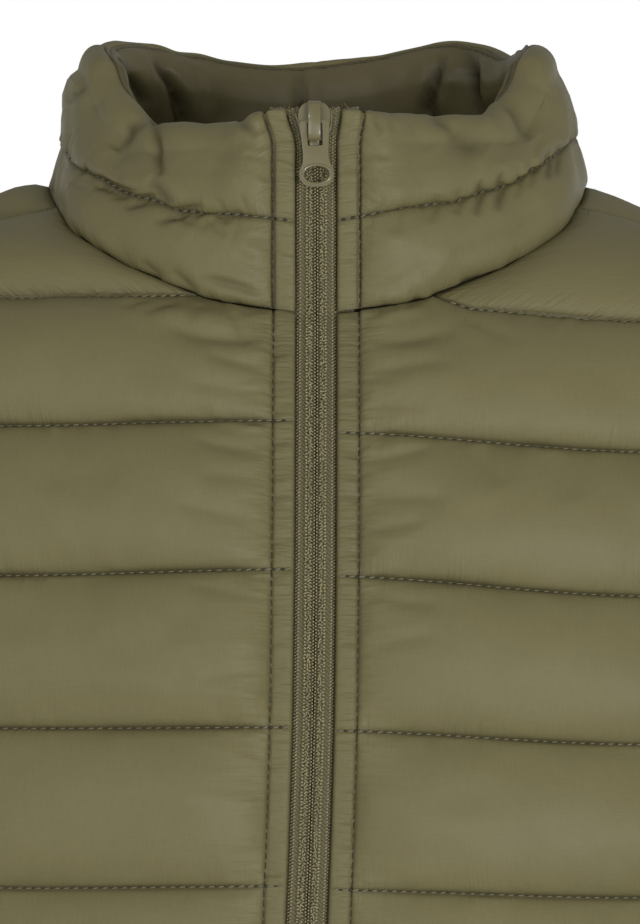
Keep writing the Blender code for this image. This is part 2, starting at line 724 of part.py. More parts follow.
# the collar's columns meet the corners of the body panels along the neck seam; those with None are between two corners
NECK_CORNERS = [lerp(NECK_LINE1, NECK_SHOULDER, i / 3) for i in range(4)] + [
    lerp(NECK_SHOULDER, NECK_BACK_LINE, i / 3) for i in range(1, 4)] + [lerp(180.0, NECK_BACK_LINE, BACK_CENTRE[0]), 180.0]
COLLAR_PSI = NECK_CORNERS[:7] + [0.5 * (NECK_CORNERS[6] + NECK_CORNERS[7]), NECK_CORNERS[7],
                                 0.5 * (NECK_CORNERS[7] + 180.0), 180.0]


def neck_seam(psi):
    """The neck seam as the body panels' corners give it."""
    a = abs(psi)
    for lo, hi in zip(NECK_CORNERS[6:], NECK_CORNERS[7:]):
        if lo < a < hi:
            return neck(math.copysign(lo, psi)).lerp(neck(math.copysign(hi, psi)), (a - lo) / (hi - lo))
    return neck(psi)


def plan(sizes, psi, z):
    s, c = math.sin(math.radians(psi)), math.cos(math.radians(psi))
    return Vector((sizes[0] * s, -(sizes[1] if c > 0 else sizes[2]) * c, z))


def zip_profile(z):
    """Front depth of the zip's line at a height."""
    if z >= ZIP_PROFILE_TOP[0][0]:
        return read(ZIP_PROFILE_TOP, z)
    return read(BODY, -z, 2)


def collar_base(psi):
    """Neck seam, middle seam and rim point at one angle round the neck, and the direction to the inside."""
    s = neck_seam(psi) + Vector((0, 0, SEAM_GAP))
    x = abs(s.x)
    flat = 1 - step(x, 0.012, 0.034)
    mid, rim = plan(MID_PLAN, psi, read(MID, abs(psi))), plan(RIM_PLAN, psi, read(RIM, abs(psi)))
    if abs(psi) < 60:
        # close to the zip the edges of the collar run straight up
        mid.x, rim.x = lerp(mid.x, s.x, flat), lerp(rim.x, s.x, flat)
        mid.y = lerp(mid.y, -zip_profile(mid.z), flat)
        rim.y = lerp(rim.y, -zip_profile(rim.z), flat)
    return s, mid, rim, neck_inward(s)


def collar_fill(psi):
    x = abs(neck(psi).x)
    return step(x, TOPSTITCH - 0.001, 0.030) if abs(psi) < 60 else 1.0


def collar_section(psi):
    s, mid, rim, w = collar_base(psi)
    e = collar_fill(psi)
    up = Vector((0, 0, 1))
    h = PUFF_COLLAR * e * (1.5 if abs(psi) < 60 else 1.0)
    thick = lerp(WALL, 0.0115, e)
    pts = [s]
    for t in (0.33, 0.67):
        pts.append(s.lerp(mid, t) - w * h * puff_row(t) * 0.9)
    pts.append(mid)
    top = rim - w * (0.0) - up * lerp(0.0012, 0.0045, e)
    pts.append(mid.lerp(top, 0.35) - w * h)
    pts.append(mid.lerp(top, 0.75) - w * (h * 0.9))
    pts.append(rim - w * 0.0012 * e - up * lerp(0.0004, 0.0012, e))
    pts.append(rim + w * thick * 0.45)
    pts.append(rim + w * (thick - 0.0006 * e) - up * lerp(0.0008, 0.0035, e))
    pts.append(rim + w * thick - up * lerp(0.0030, 0.0100, e))
    pts.append(rim + w * (thick - 0.0018 * e) - up * lerp(0.0030, 0.0100, e) - up * 0.0002)
    pts.append(mid + w * lerp(WALL, 0.0062, e))
    pts.append(s + w * WALL)
    return pts


def build_collar(mat):
    psis = [psi_of_x(x) for x in COLLAR_X] + list(COLLAR_PSI)
    full = [-p for p in psis] + [p for p in reversed(psis[:-1])]
    return loft("collar", [collar_section(p) for p in full], mat)


def facing_section(psi):
    s, mid, rim, w = collar_base(psi)
    e = collar_fill(psi)
    up = Vector((0, 0, 1))
    thick = lerp(WALL, 0.0115, e)
    gap, sheet = 0.0012, 0.0012
    behind = TAPE_BACK - WALL + 0.0003          # behind the zip tape on the strip
    top = rim + w * (thick - 0.0018 * e) - up * (lerp(0.0030, 0.0100, e) + 0.0006)
    m = mid + w * lerp(WALL, 0.0062, e)
    b = (s + w * WALL).lerp(m, 0.1)
    back = behind if abs(s.x) < 0.02 and abs(psi) < 60 else gap
    top, m, b = top + w * back, m + w * back, b + w * back
    return [top, m, b, b + w * sheet, m + w * sheet, top + w * sheet]


def build_facing(mat):
    psis = [psi_of_x(x) for x in (0.0078, TOPSTITCH, STRIP_RAMP)] + list(COLLAR_PSI)
    full = [-p for p in psis] + [p for p in reversed(psis[:-1])]
    return loft("collar_facing", [facing_section(p) for p in full], mat, turned=(3, 4))


# ---------------------------------------------------------------- zip
HEM_Z = side_z(N_LINES)


def zip_point(x, z, depth):
    """Point on the zip's line, depth behind the outer face of the fronts, square to it."""
    tangent = Vector((0.0, -zip_profile(z + 0.002) + zip_profile(z - 0.002), 0.004)).normalized()
    outward = Vector((0.0, -tangent.z, tangent.y))
    return Vector((x + zip_shift(z, 0.0), -zip_profile(z), z)) - outward * depth


def zip_rows(top, bottom):
    rows = [top, 0.0135, -0.0100, -0.0300, -0.0401, -0.0500, -0.0600, -0.0850, -0.1200, -0.1600, -0.2000, -0.2300, -0.2650,
            -0.3200, -0.3700, -0.4200, -0.4700, -0.5200, -0.5700, -0.6200, -0.7100, -0.8000, -0.9300]
    return [z for z in rows if z <= top] + [bottom]


def strip_sections(x0, x1, front, back, rows, split=None):
    out = []
    for z in rows:
        a, b = (x0, x1) if split is None else split(z)
        out.append([zip_point(a, z, front), zip_point(b, z, front), zip_point(b, z, back), zip_point(a, z, back)])
    return out


def build_tape(name, side, mat):
    def split(z):
        inner = lerp(TAPE_IN, 0.0020, step(z, 0.0130, 0.0170))
        outer = TAPE_OUT + lerp(0.0, 0.0, step(z, 0.015, 0.024))
        return side * inner, side * outer
    rows = zip_rows(0.0235, HEM_Z + 0.0004)
    rows.insert(1, 0.0175)
    return loft(name, strip_sections(0, 0, TAPE_FRONT, TAPE_BACK, rows, split), mat)


def build_chain(mat):
    rows = zip_rows(0.0155, HEM_Z + 0.0130)
    return loft("zip_chain", strip_sections(-CHAIN_HALF, CHAIN_HALF, CHAIN_FRONT, CHAIN_BACK, rows), mat)


def prism(name, outline, holes, thickness, mat, axis="Y"):
    """A plate from an outline in (x, z) with holes, thickness along y, centred on y = 0."""
    bm = bmesh.new()
    edges = []
    for loop in [outline] + holes:
        vs = [bm.verts.new((x, 0.0, z)) for x, z in loop]
        edges += [bm.edges.new((vs[i], vs[(i + 1) % len(vs)])) for i in range(len(vs))]
    bmesh.ops.triangle_fill(bm, edges=edges, use_beauty=True, use_dissolve=False)
    geo = bmesh.ops.extrude_face_region(bm, geom=bm.faces[:])
    bmesh.ops.translate(bm, verts=[v for v in geo["geom"] if isinstance(v, bmesh.types.BMVert)], vec=(0, thickness, 0))
    bmesh.ops.translate(bm, verts=bm.verts[:], vec=(0, -thickness / 2, 0))
    bmesh.ops.recalc_face_normals(bm, faces=bm.faces[:])
    me = bpy.data.meshes.new(name)
    bm.to_mesh(me)
    bm.free()
    ob = bpy.data.objects.new(name, me)
    bpy.context.scene.collection.objects.link(ob)
    me.materials.append(mat)
    return ob


def rounded(outline_half):
    """Mirror a right-hand half outline, top to bottom, about x = 0."""
    return outline_half + [(-x, z) for x, z in reversed(outline_half) if abs(x) > 1e-9]


def ellipse(cx, cz, rx, rz, n):
    return [(cx + rx * math.cos(2 * math.pi * i / n), cz + rz * math.sin(2 * math.pi * i / n)) for i in range(n)]


def lean():
    return math.atan2(zip_profile(-0.008) - zip_profile(0.024), 0.032)


def place(ob, offset):
    """Put a piece made about its own origin on the zip's plane at the height of the pull's bar."""
    a = lean()
    out = Vector((0, -math.cos(a), math.sin(a)))
    origin = Vector((0, -zip_profile(PULL_Z), PULL_Z))
    ob.rotation_euler = (-a, 0, 0)
    ob.location = origin + out * offset
    return ob


BAR_OUT = 0.0031       # the bar's distance in front of the fronts' face


def build_slider(mat):
    front = rounded([(0.0000, 0.0064), (0.0026, 0.0064), (0.0043, 0.0054), (0.0050, 0.0036), (0.0048, 0.0005),
                     (0.0044, -0.0040), (0.0036, -0.0056), (0.0000, -0.0058)])
    plate = prism("zip_slider", front, [], 0.0017, mat)
    place(plate, 0.0007 + 0.00015 + 0.0001)
    back = prism("slider_back", front, [], 0.0013, mat)
    place(back, -(TAPE_BACK + 0.0004 + 0.00065))
    post = prism("slider_post", [(-0.0010, 0.0020), (0.0010, 0.0020), (0.0010, 0.0048), (-0.0010, 0.0048)], [], 0.0062, mat)
    place(post, -0.0020)
    # the bridge is an arch seen from the side, pushed out across its width
    arch = bmesh.new()
    top_out, bar = 0.0052, 0.0011
    prof = [(0.0016, 0.0064), (0.0040, 0.0064), (top_out, 0.0050), (top_out, -0.0042), (0.0040, -0.0058), (0.0016, -0.0058),
            (0.0016, -0.0043), (0.0034, -0.0041), (top_out - bar, -0.0034), (top_out - bar, 0.0040), (0.0034, 0.0049), (0.0016, 0.0051)]
    left = [arch.verts.new((-0.00195, -o, z)) for o, z in prof]
    f = arch.faces.new(left)
    geo = bmesh.ops.extrude_face_region(arch, geom=[f])
    bmesh.ops.translate(arch, verts=[v for v in geo["geom"] if isinstance(v, bmesh.types.BMVert)], vec=(0.0039, 0, 0))
    bmesh.ops.recalc_face_normals(arch, faces=arch.faces[:])
    me = bpy.data.meshes.new("slider_bridge")
    arch.to_mesh(me)
    arch.free()
    bridge = bpy.data.objects.new("slider_bridge", me)
    bpy.context.scene.collection.objects.link(bridge)
    me.materials.append(mat)
    place(bridge, 0.0)
    for guide in (back, post, bridge):
        guide.hide_render = True
        guide.display_type = "WIRE"
        m = plate.modifiers.new(guide.name, "BOOLEAN")
        m.operation, m.object, m.solver = "UNION", guide, "EXACT"
    return plate


def build_pull(mat):
    half = [(0.0000, 0.0005), (0.0036, 0.0005), (0.0045, -0.0002), (0.0045, -0.0018), (0.0041, -0.0062), (0.0033, -0.0092),
            (0.0030, -0.0112), (0.0035, -0.0130), (0.0049, -0.0145), (0.0055, -0.0164), (0.0052, -0.0182), (0.0040, -0.0196),
            (0.0022, -0.0203), (0.0000, -0.0205)]
    window = [(-0.0024, -0.0005), (0.0024, -0.0005), (0.0024, -0.0070), (0.0016, -0.0077), (-0.0016, -0.0077), (-0.0024, -0.0070)]
    hole = ellipse(0.0, -0.0164, 0.00365, 0.0026, 18)
    pull = prism("zip_pull", rounded(half), [window[::-1], hole[::-1]], 0.0011, mat)
    return place(pull, BAR_OUT)


def build_box(mat):
    z0, z1 = HEM_Z + 0.0012, HEM_Z + 0.0124
    half = 0.0046
    pts = []
    for z, w in ((z0, half - 0.0008), (z0 + 0.001, half), (z1 - 0.001, half), (z1, half - 0.0008)):
        pts.append([zip_point(-w, z, -0.0010), zip_point(w, z, -0.0010), zip_point(w, z, 0.0020), zip_point(-w, z, 0.0020)])
    return loft("zip_box", pts, mat, smooth=20.0)


def main():
    clear_scene()
    build_front("front_left", -1, material("front_left", CLOTH, 0.42))
    build_front("front_right", 1, material("front_right", CLOTH, 0.42))
    build_back(material("back", CLOTH, 0.42))
    build_sleeve("sleeve_left", -1, material("sleeve_left", CLOTH, 0.42))
    build_sleeve("sleeve_right", 1, material("sleeve_right", CLOTH, 0.42))
    build_collar(material("collar", CLOTH, 0.42))
    build_facing(material("collar_facing", CLOTH_DARK, 0.5))
    build_tape("zip_tape_left", -1, material("zip_tape_left", ZIP_CLOTH, 0.8))
    build_tape("zip_tape_right", 1, material("zip_tape_right", ZIP_CLOTH, 0.8))
    build_chain(material("zip_chain", ZIP_CLOTH, 0.5))
    build_slider(material("zip_slider", ZIP_HARD, 0.4))
    build_pull(material("zip_pull", ZIP_HARD, 0.4))
    build_box(material("zip_box", ZIP_HARD, 0.4))


main()
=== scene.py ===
"""Looks of the quilted long coat: fine shells for every panel, stitches, zip, materials, light and camera."""
import math

import bmesh
import bpy
import numpy as np
from mathutils import Matrix, Vector


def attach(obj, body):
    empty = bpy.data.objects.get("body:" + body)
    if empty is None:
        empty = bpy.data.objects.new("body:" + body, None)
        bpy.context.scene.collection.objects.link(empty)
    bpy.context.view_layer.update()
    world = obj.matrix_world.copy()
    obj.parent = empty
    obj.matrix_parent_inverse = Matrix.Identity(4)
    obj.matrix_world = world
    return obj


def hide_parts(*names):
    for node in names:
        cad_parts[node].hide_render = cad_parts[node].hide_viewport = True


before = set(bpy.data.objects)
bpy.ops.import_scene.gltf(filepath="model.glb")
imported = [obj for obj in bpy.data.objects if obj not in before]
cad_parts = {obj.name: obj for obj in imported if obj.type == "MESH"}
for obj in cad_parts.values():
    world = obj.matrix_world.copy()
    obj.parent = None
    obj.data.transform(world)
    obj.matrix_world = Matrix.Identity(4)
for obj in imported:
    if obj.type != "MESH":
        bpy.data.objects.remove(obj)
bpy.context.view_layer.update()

# ---------------------------------------------------------------- sizes, the same as the solids have
WALL, PUFF, PUFF_COLLAR, SEAM_GAP = 0.0020, 0.0090, 0.0050, 0.0002
ZIP_EDGE, TOPSTITCH, STRIP_RAMP, INNER_COL = 0.0066, 0.0134, 0.0260, 0.0365
CHANNEL, N_LINES, SQUARE = 0.0485, 22, 2.2
SHOULDER_Y, TIP_Z, UNDERARM_Z, ARMHOLE_Y, SHOULDER_THETA = -0.0240, -0.0440, -0.2190, 0.0550, 14.0
SPLAY, SLEEVE_LEN, SLEEVE_CHANNEL = 14.0, 0.615, 0.0475
PULL_Z, BAR_OUT = 0.0198, 0.0031
TAPE_BACK = 0.0039

# body rings: depth below the neck point, half width, front depth, back depth
BODY = (
    (-0.0025, 0.0870, 0.0300, 0.0300), (0.0020, 0.0935, 0.0370, 0.0370), (0.0065, 0.1020, 0.0440, 0.0450),
    (0.0160, 0.1240, 0.0560, 0.0580), (0.0300, 0.1570, 0.0700, 0.0720), (0.0440, 0.1900, 0.0810, 0.0820),
    (0.0600, 0.1940, 0.0890, 0.0900), (0.1000, 0.1970, 0.1040, 0.1030), (0.1500, 0.2000, 0.1150, 0.1110),
    (0.2190, 0.2030, 0.1200, 0.1130), (0.2650, 0.1990, 0.1200, 0.1100), (0.3200, 0.1950, 0.1160, 0.1060),
    (0.4200, 0.1940, 0.1080, 0.1000), (0.5200, 0.2070, 0.1120, 0.1100), (0.6200, 0.2250, 0.1200, 0.1240),
    (0.8000, 0.2420, 0.1300, 0.1360), (1.0600, 0.2620, 0.1430, 0.1500),
)
# quilting lines of the fronts: left centre, left outer, right centre, right outer, side seam or armhole
LINES = (
    (-0.0336, -0.0352, -0.0352, -0.0425, -0.0550),
    (-0.0731, -0.0750, -0.0768, -0.0830, -0.0810),
    (-0.1189, -0.1212, -0.1210, -0.1275, -0.1265),
    (-0.1673, -0.1680, -0.1683, -0.1730, -0.1735),
    (-0.2158, -0.2170, -0.2169, -0.2200, -0.2190),
)
NECK_HALF = 0.0858
NECK = (
    (0, -0.0401), (22, -0.0353), (30, -0.0312), (41, -0.0258), (50.5, -0.0205), (61.8, -0.0138),
    (73, -0.0055), (90, 0.0024), (110, -0.0030), (130, -0.0110), (155, -0.0180), (180, -0.0210),
)
MID_PLAN = (0.0828, 0.0775, 0.0610)
MID = (
    (0, -0.0100), (18.5, -0.0073), (29, -0.0066), (37.5, -0.0032), (46, -0.0013), (54, 0.0033),
    (68, 0.0110), (80, 0.0165), (90, 0.0185), (120, 0.0175), (150, 0.0155), (180, 0.0145),
)
RIM_PLAN = (0.0720, 0.0690, 0.0580)
RIM = (
    (0, 0.0240), (10, 0.0235), (16, 0.0215), (30, 0.0210), (48, 0.0215), (58, 0.0285), (67, 0.0365),
    (73, 0.0430), (90, 0.0480), (110, 0.0490), (130, 0.0510), (145, 0.0500), (165, 0.0475), (180, 0.0465),
)
ZIP_LINE = ((-0.03, 0.0), (0.035, 0.0), (0.100, -0.0002), (0.160, -0.0008), (0.200, -0.0019), (0.230, -0.0030),
            (0.300, -0.0045), (0.400, -0.0040), (0.600, -0.0010), (0.800, 0.0), (1.100, 0.0))
ZIP_PROFILE_TOP = ((-0.0401, 0.0783), (-0.0350, 0.0776), (-0.0250, 0.0772), (-0.0100, 0.0765), (0.0260, 0.0728))
SLEEVE = (
    (0.000, 0.0000, 0.0200, 0.0160, 0.0000), (0.020, 0.0280, 0.0300, 0.0340, 0.0000),
    (0.050, 0.0600, 0.0450, 0.0500, 0.0000), (0.090, 0.0840, 0.0560, 0.0600, 0.0000),
    (0.130, 0.0950, 0.0620, 0.0640, 0.0000), (0.173, 0.0983, 0.0640, 0.0640, 0.0000),
    (0.300, 0.0950, 0.0600, 0.0600, 0.0050), (0.420, 0.0905, 0.0550, 0.0550, 0.0160),
    (0.620, 0.0840, 0.0490, 0.0480, 0.0400),
)
NECK_SHOULDER, NECK_BACK_LINE, BACK_INNER = 74.0, 112.0, 126.0
BACK_LINES = (-0.0560, -0.0840, -0.1270, -0.1740, -0.2190)
MM = 0.001


# ---------------------------------------------------------------- curves over tables
def read(table, x, column=1):
    """A smooth, never overshooting curve through one column of a table."""
    xs = np.array([r[0] for r in table], float)
    ys = np.array([r[column] for r in table], float)
    h, d = np.diff(xs), np.diff(ys) / np.diff(xs)
    m = np.zeros_like(ys)
    m[0], m[-1] = d[0], d[-1]
    for i in range(1, len(xs) - 1):
        if d[i - 1] * d[i] > 0:
            w1, w2 = 2 * h[i] + h[i - 1], h[i] + 2 * h[i - 1]
            m[i] = (w1 + w2) / (w1 / d[i - 1] + w2 / d[i])
    x = np.clip(np.asarray(x, float), xs[0], xs[-1])
    i = np.clip(np.searchsorted(xs, x, side="right") - 1, 0, len(xs) - 2)
    t = (x - xs[i]) / h[i]
    return (ys[i] * (1 + 2 * t) * (1 - t) ** 2 + m[i] * h[i] * t * (1 - t) ** 2
            + ys[i + 1] * t * t * (3 - 2 * t) + m[i + 1] * h[i] * t * t * (t - 1))


def step(x, lo, hi):
    t = np.clip((np.asarray(x, float) - lo) / (hi - lo), 0.0, 1.0)
    return t * t * (3 - 2 * t)


def lerp(a, b, t):
    return a + (b - a) * t


def unit(v):
    return v / np.maximum(np.linalg.norm(v, axis=-1, keepdims=True), 1e-12)


def zip_shift(z, x):
    return read(ZIP_LINE, -np.asarray(z, float)) * (1 - step(np.abs(x), 0.02, 0.09))


def ring(phi, z):
    phi, z = np.broadcast_arrays(np.asarray(phi, float), np.asarray(z, float))
    s, c = np.sin(np.radians(phi)), np.cos(np.radians(phi))
    a = read(BODY, -z, 1)
    b = np.where(c >= 0, read(BODY, -z, 2), read(BODY, -z, 3))
    x = a * np.sign(s) * np.abs(s) ** (2 / SQUARE)
    y = -b * np.sign(c) * np.abs(c) ** (2 / SQUARE)
    return np.stack([x + np.where(c > 0, zip_shift(z, x), 0.0), y, z], -1)


def phi_of_x(x, z):
    return np.degrees(np.arcsin(np.minimum(np.abs(x) / read(BODY, -np.asarray(z, float), 1), 1.0) ** (SQUARE / 2)))


def phi_of_y(y, z):
    y, z = np.asarray(y, float), np.asarray(z, float)
    b = np.where(y <= 0, read(BODY, -z, 2), read(BODY, -z, 3))
    c = np.minimum(np.abs(y) / b, 1.0) ** (SQUARE / 2)
    return np.degrees(np.arccos(np.where(y <= 0, c, -c)))


def line_z(k, side, x):
    row = LINES[min(k, 5) - 1]
    centre, outer = (row[0], row[1]) if side < 0 else (row[2], row[3])
    x = np.abs(x)
    z = lerp(lerp(centre, outer, step(x, 0.0, 0.105)), row[4], step(x, 0.105, 0.190))
    if k > 5:
        z = lerp(row[4], z, 1 - step(k, 5, 9))
    return z - max(k - 5, 0) * CHANNEL


def side_z(k):
    return LINES[min(k, 5) - 1][4] - max(k - 5, 0) * CHANNEL


def puff(t, sag=1.0):
    """0 at the stitched lines, 1 at the crest, which lies a little below the middle of the channel."""
    t = np.clip(t, 0.0, 1.0) ** sag
    return np.maximum(1 - (2 * t - 1) ** 2, 0.0) ** 0.55


def armhole(theta, side):
    mid, half = (TIP_Z + UNDERARM_Z) / 2, (TIP_Z - UNDERARM_Z) / 2
    z = mid + half * np.cos(np.radians(theta))
    y = -ARMHOLE_Y * np.sin(np.radians(theta))
    p = ring(phi_of_y(y, z), z)
    return np.stack([side * np.abs(p[..., 0]), y, z], -1)


def theta_of_z(z):
    mid, half = (TIP_Z + UNDERARM_Z) / 2, (TIP_Z - UNDERARM_Z) / 2
    return np.degrees(np.arccos(np.clip((z - mid) / half, -1.0, 1.0)))


def armhole_theta(k, t):
    if k <= 0:
        return lerp(SHOULDER_THETA, theta_of_z(side_z(1)), t)
    return theta_of_z(lerp(side_z(k), side_z(k + 1), t))


def neck(psi):
    psi = np.asarray(psi, float)
    x = NECK_HALF * np.sin(np.radians(psi))
    z = read(NECK, np.abs(psi))
    phi = phi_of_x(x, z)
    phi = np.where(np.abs(psi) > 90, 180 - phi, phi)
    p = ring(np.copysign(phi, psi), z)
    return np.stack([x, p[..., 1], z], -1)


def neck_inward(p):
    return unit(np.stack([-p[..., 0], -0.008 - p[..., 1], 0 * p[..., 2]], -1))


def psi_of_x(x):
    return np.degrees(np.arcsin(np.minimum(np.abs(x) / NECK_HALF, 1.0)))


def zip_profile(z):
    z = np.asarray(z, float)
    return np.where(z >= ZIP_PROFILE_TOP[0][0], read(ZIP_PROFILE_TOP, z), read(BODY, -z, 2))


def zip_point(x, z, depth):
    """Point on the zip's line, depth behind the outer face of the fronts, square to it. Also the outward direction."""
    x, z, depth = np.broadcast_arrays(np.asarray(x, float), np.asarray(z, float), np.asarray(depth, float))
    tangent = unit(np.stack([0 * z, -zip_profile(z + 0.002) + zip_profile(z - 0.002), 0 * z + 0.004], -1))
    outward = np.stack([0 * z, -tangent[..., 2], tangent[..., 1]], -1)
    base = np.stack([x + zip_shift(z, 0.0), -zip_profile(z), z], -1)
    return base - outward * depth[..., None], outward, tangent


HEM_Z = side_z(N_LINES)


# ---------------------------------------------------------------- smooth noise and folds
def noise1(x, seed):
    table = np.random.default_rng(seed).uniform(-1, 1, 2048)
    x = np.asarray(x, float)
    i = np.floor(x).astype(int)
    t = x - i
    t = t * t * (3 - 2 * t)
    return lerp(table[i % 2048], table[(i + 1) % 2048], t)


def noise2(x, y, seed):
    table = np.random.default_rng(seed).uniform(-1, 1, (256, 256))
    x, y = np.broadcast_arrays(np.asarray(x, float), np.asarray(y, float))
    i, j = np.floor(x).astype(int), np.floor(y).astype(int)
    u, v = x - i, y - j
    u, v = u * u * (3 - 2 * u), v * v * (3 - 2 * v)
    i0, i1, j0, j1 = i % 256, (i + 1) % 256, j % 256, (j + 1) % 256
    return lerp(lerp(table[i0, j0], table[i1, j0], u), lerp(table[i0, j1], table[i1, j1], u), v)


def fold(x, z, x0, z0, x1, z1, width, height, bend=0.0):
    """A soft ridge (height > 0) or trough from one point to another, in mm on the front, tapering at both ends."""
    x, z = x / MM, z / MM
    dx, dz = x1 - x0, z1 - z0
    length = math.hypot(dx, dz)
    ux, uz = dx / length, dz / length
    a = ((x - x0) * ux + (z - z0) * uz) / length
    b = -(x - x0) * uz + (z - z0) * ux - bend * 4 * a * (1 - a)
    ends = np.clip(1 - np.abs(2 * a - 1) ** 3, 0, 1) * (a > 0) * (a < 1)
    shape = np.exp(-(b / width) ** 2) if height > 0 else np.exp(-np.abs(b / width) ** 1.6)
    return height * MM * shape * ends


# ---------------------------------------------------------------- meshes
def build_mesh(name, verts, faces, mats, smooth=True, uv=None, seam=None, face_mats=None, sharp=None, mark=None):
    me = bpy.data.meshes.new(name)
    me.from_pydata(np.asarray(verts, float).tolist(), [], faces)
    me.validate()
    for m in mats:
        me.materials.append(m)
    if smooth:
        me.shade_smooth()
        if sharp:
            me.set_sharp_from_angle(angle=math.radians(sharp))
    if uv is not None:
        loops = np.zeros(len(me.loops), int)
        me.loops.foreach_get("vertex_index", loops)
        layer = me.uv_layers.new(name="cloth")
        layer.data.foreach_set("uv", np.asarray(uv, float)[loops].ravel())
    if seam is not None:
        at = me.attributes.new("seam", "FLOAT", "POINT")
        at.data.foreach_set("value", np.asarray(seam, float))
    if mark is not None:
        for j, key in enumerate(("gather_line", "gather_edge")):
            at = me.attributes.new(key, "FLOAT", "POINT")
            at.data.foreach_set("value", np.ascontiguousarray(mark[:, j], float))
    if face_mats is not None and len(me.polygons) == len(face_mats):
        me.polygons.foreach_set("material_index", np.asarray(face_mats, int))
    me.update()
    ob = bpy.data.objects.new(name, me)
    bpy.context.scene.collection.objects.link(ob)
    return ob


class Shell:
    """Collects welded grids of points and the faces between them."""

    def __init__(self):
        self.verts, self.faces, self.uv, self.seam, self.mats, self.mark = [], [], [], [], [], []
        self.count = 0

    def add(self, points, uv=None, seam=None, mark=None):
        flat = np.asarray(points, float).reshape(-1, 3)
        n = len(flat)
        self.verts.append(flat)
        self.uv.append(np.zeros((n, 2)) if uv is None else np.asarray(uv, float).reshape(-1, 2))
        self.seam.append(np.zeros(n) if seam is None else np.asarray(seam, float).reshape(-1))
        self.mark.append(np.zeros((n, 2)) if mark is None else np.stack([np.broadcast_to(m, np.asarray(points).shape[:-1]) for m in mark], -1).reshape(-1, 2))
        out = np.arange(self.count, self.count + n).reshape(np.asarray(points).shape[:-1])
        self.count += n
        return out

    def quads(self, index, mat=0, flip=False):
        a, b, c, d = index[:-1, :-1].ravel(), index[:-1, 1:].ravel(), index[1:, 1:].ravel(), index[1:, :-1].ravel()
        quad = np.stack([d, c, b, a] if flip else [a, b, c, d], 1)
        self.faces += quad.tolist()
        self.mats += [mat] * len(quad)

    def zipper(self, outer, inner, mat=0):
        """Triangles between two border lines that may have different numbers of points, paired by length."""
        v = np.concatenate(self.verts)
        a, b = (np.concatenate([[0.0], np.cumsum(np.linalg.norm(np.diff(v[q], axis=0), axis=1))]) for q in (outer, inner))
        a, b = a / a[-1], b / b[-1]
        i = j = 0
        n, m = len(outer) - 1, len(inner) - 1
        while i < n or j < m:
            if j >= m or (i < n and a[i + 1] <= b[j + 1]):
                self.faces.append([int(outer[i]), int(outer[i + 1]), int(inner[j])])
                i += 1
            else:
                self.faces.append([int(outer[i]), int(inner[j + 1]), int(inner[j])])
                j += 1
            self.mats.append(mat)

    def object(self, name, mats, recalc=True, outward=None):
        ob = build_mesh(name, np.concatenate(self.verts), self.faces, mats, uv=np.concatenate(self.uv),
                        seam=np.concatenate(self.seam), face_mats=self.mats, mark=np.concatenate(self.mark))
        if recalc:
            bm = bmesh.new()
            bm.from_mesh(ob.data)
            bmesh.ops.remove_doubles(bm, verts=bm.verts[:], dist=2e-6)
            loose = [v for v in bm.verts if not v.link_faces]
            bmesh.ops.delete(bm, geom=loose, context="VERTS")
            bmesh.ops.recalc_face_normals(bm, faces=bm.faces[:])
            if bm.calc_volume(signed=True) < 0:
                bmesh.ops.reverse_faces(bm, faces=bm.faces[:])
            bm.to_mesh(ob.data)
            bm.free()
        return ob


def grid_normals(p, reference):
    """Unit normals of a grid of points, on the side of the reference directions."""
    du = np.gradient(p, axis=1)
    dv = np.gradient(p, axis=0)
    n = unit(np.cross(du, dv))
    return np.where(np.sum(n * reference, -1, keepdims=True) < 0, -n, n)


def arc(p, axis):
    d = np.linalg.norm(np.diff(p, axis=axis), axis=-1)
    c = np.cumsum(d, axis=axis)
    shape = list(c.shape)
    shape[axis] = 1
    return np.concatenate([np.zeros(shape), c], axis=axis)


def rows_in(n):
    """Row positions in one channel, closer together at the stitches."""
    u = np.linspace(0, 1, n + 1)
    return u - 0.62 * np.sin(2 * np.pi * u) / (2 * np.pi)


def pick(n, want):
    return np.unique(np.round(np.linspace(0, n - 1, want)).astype(int))


# ---------------------------------------------------------------- materials
def new_material(name):
    m = bpy.data.materials.new(name)
    m.use_nodes = True
    nt = m.node_tree
    return m, nt, nt.nodes["Principled BSDF"]


def link(nt, a, b):
    nt.links.new(a, b)


def mathnode(nt, op, a, b=None, clamp=False):
    n = nt.nodes.new("ShaderNodeMath")
    n.operation, n.use_clamp = op, clamp
    for i, v in enumerate((a, b)):
        if v is None:
            continue
        if isinstance(v, (int, float)):
            n.inputs[i].default_value = v
        else:
            link(nt, v, n.inputs[i])
    return n.outputs[0]


def maprange(nt, value, a, b, c, d):
    n = nt.nodes.new("ShaderNodeMapRange")
    link(nt, value, n.inputs["Value"])
    for key, v in zip(("From Min", "From Max", "To Min", "To Max"), (a, b, c, d)):
        n.inputs[key].default_value = v
    return n.outputs["Result"]


def mapping(nt, source, scale, turn=(0, 0, 0)):
    n = nt.nodes.new("ShaderNodeMapping")
    n.inputs["Scale"].default_value = scale
    n.inputs["Rotation"].default_value = turn
    link(nt, source, n.inputs["Vector"])
    return n.outputs["Vector"]


def noise(nt, vector, scale, detail=2.0, rough=0.5):
    n = nt.nodes.new("ShaderNodeTexNoise")
    n.inputs["Scale"].default_value = scale
    n.inputs["Detail"].default_value = detail
    n.inputs["Roughness"].default_value = rough
    link(nt, vector, n.inputs["Vector"])
    return n.outputs["Fac"]


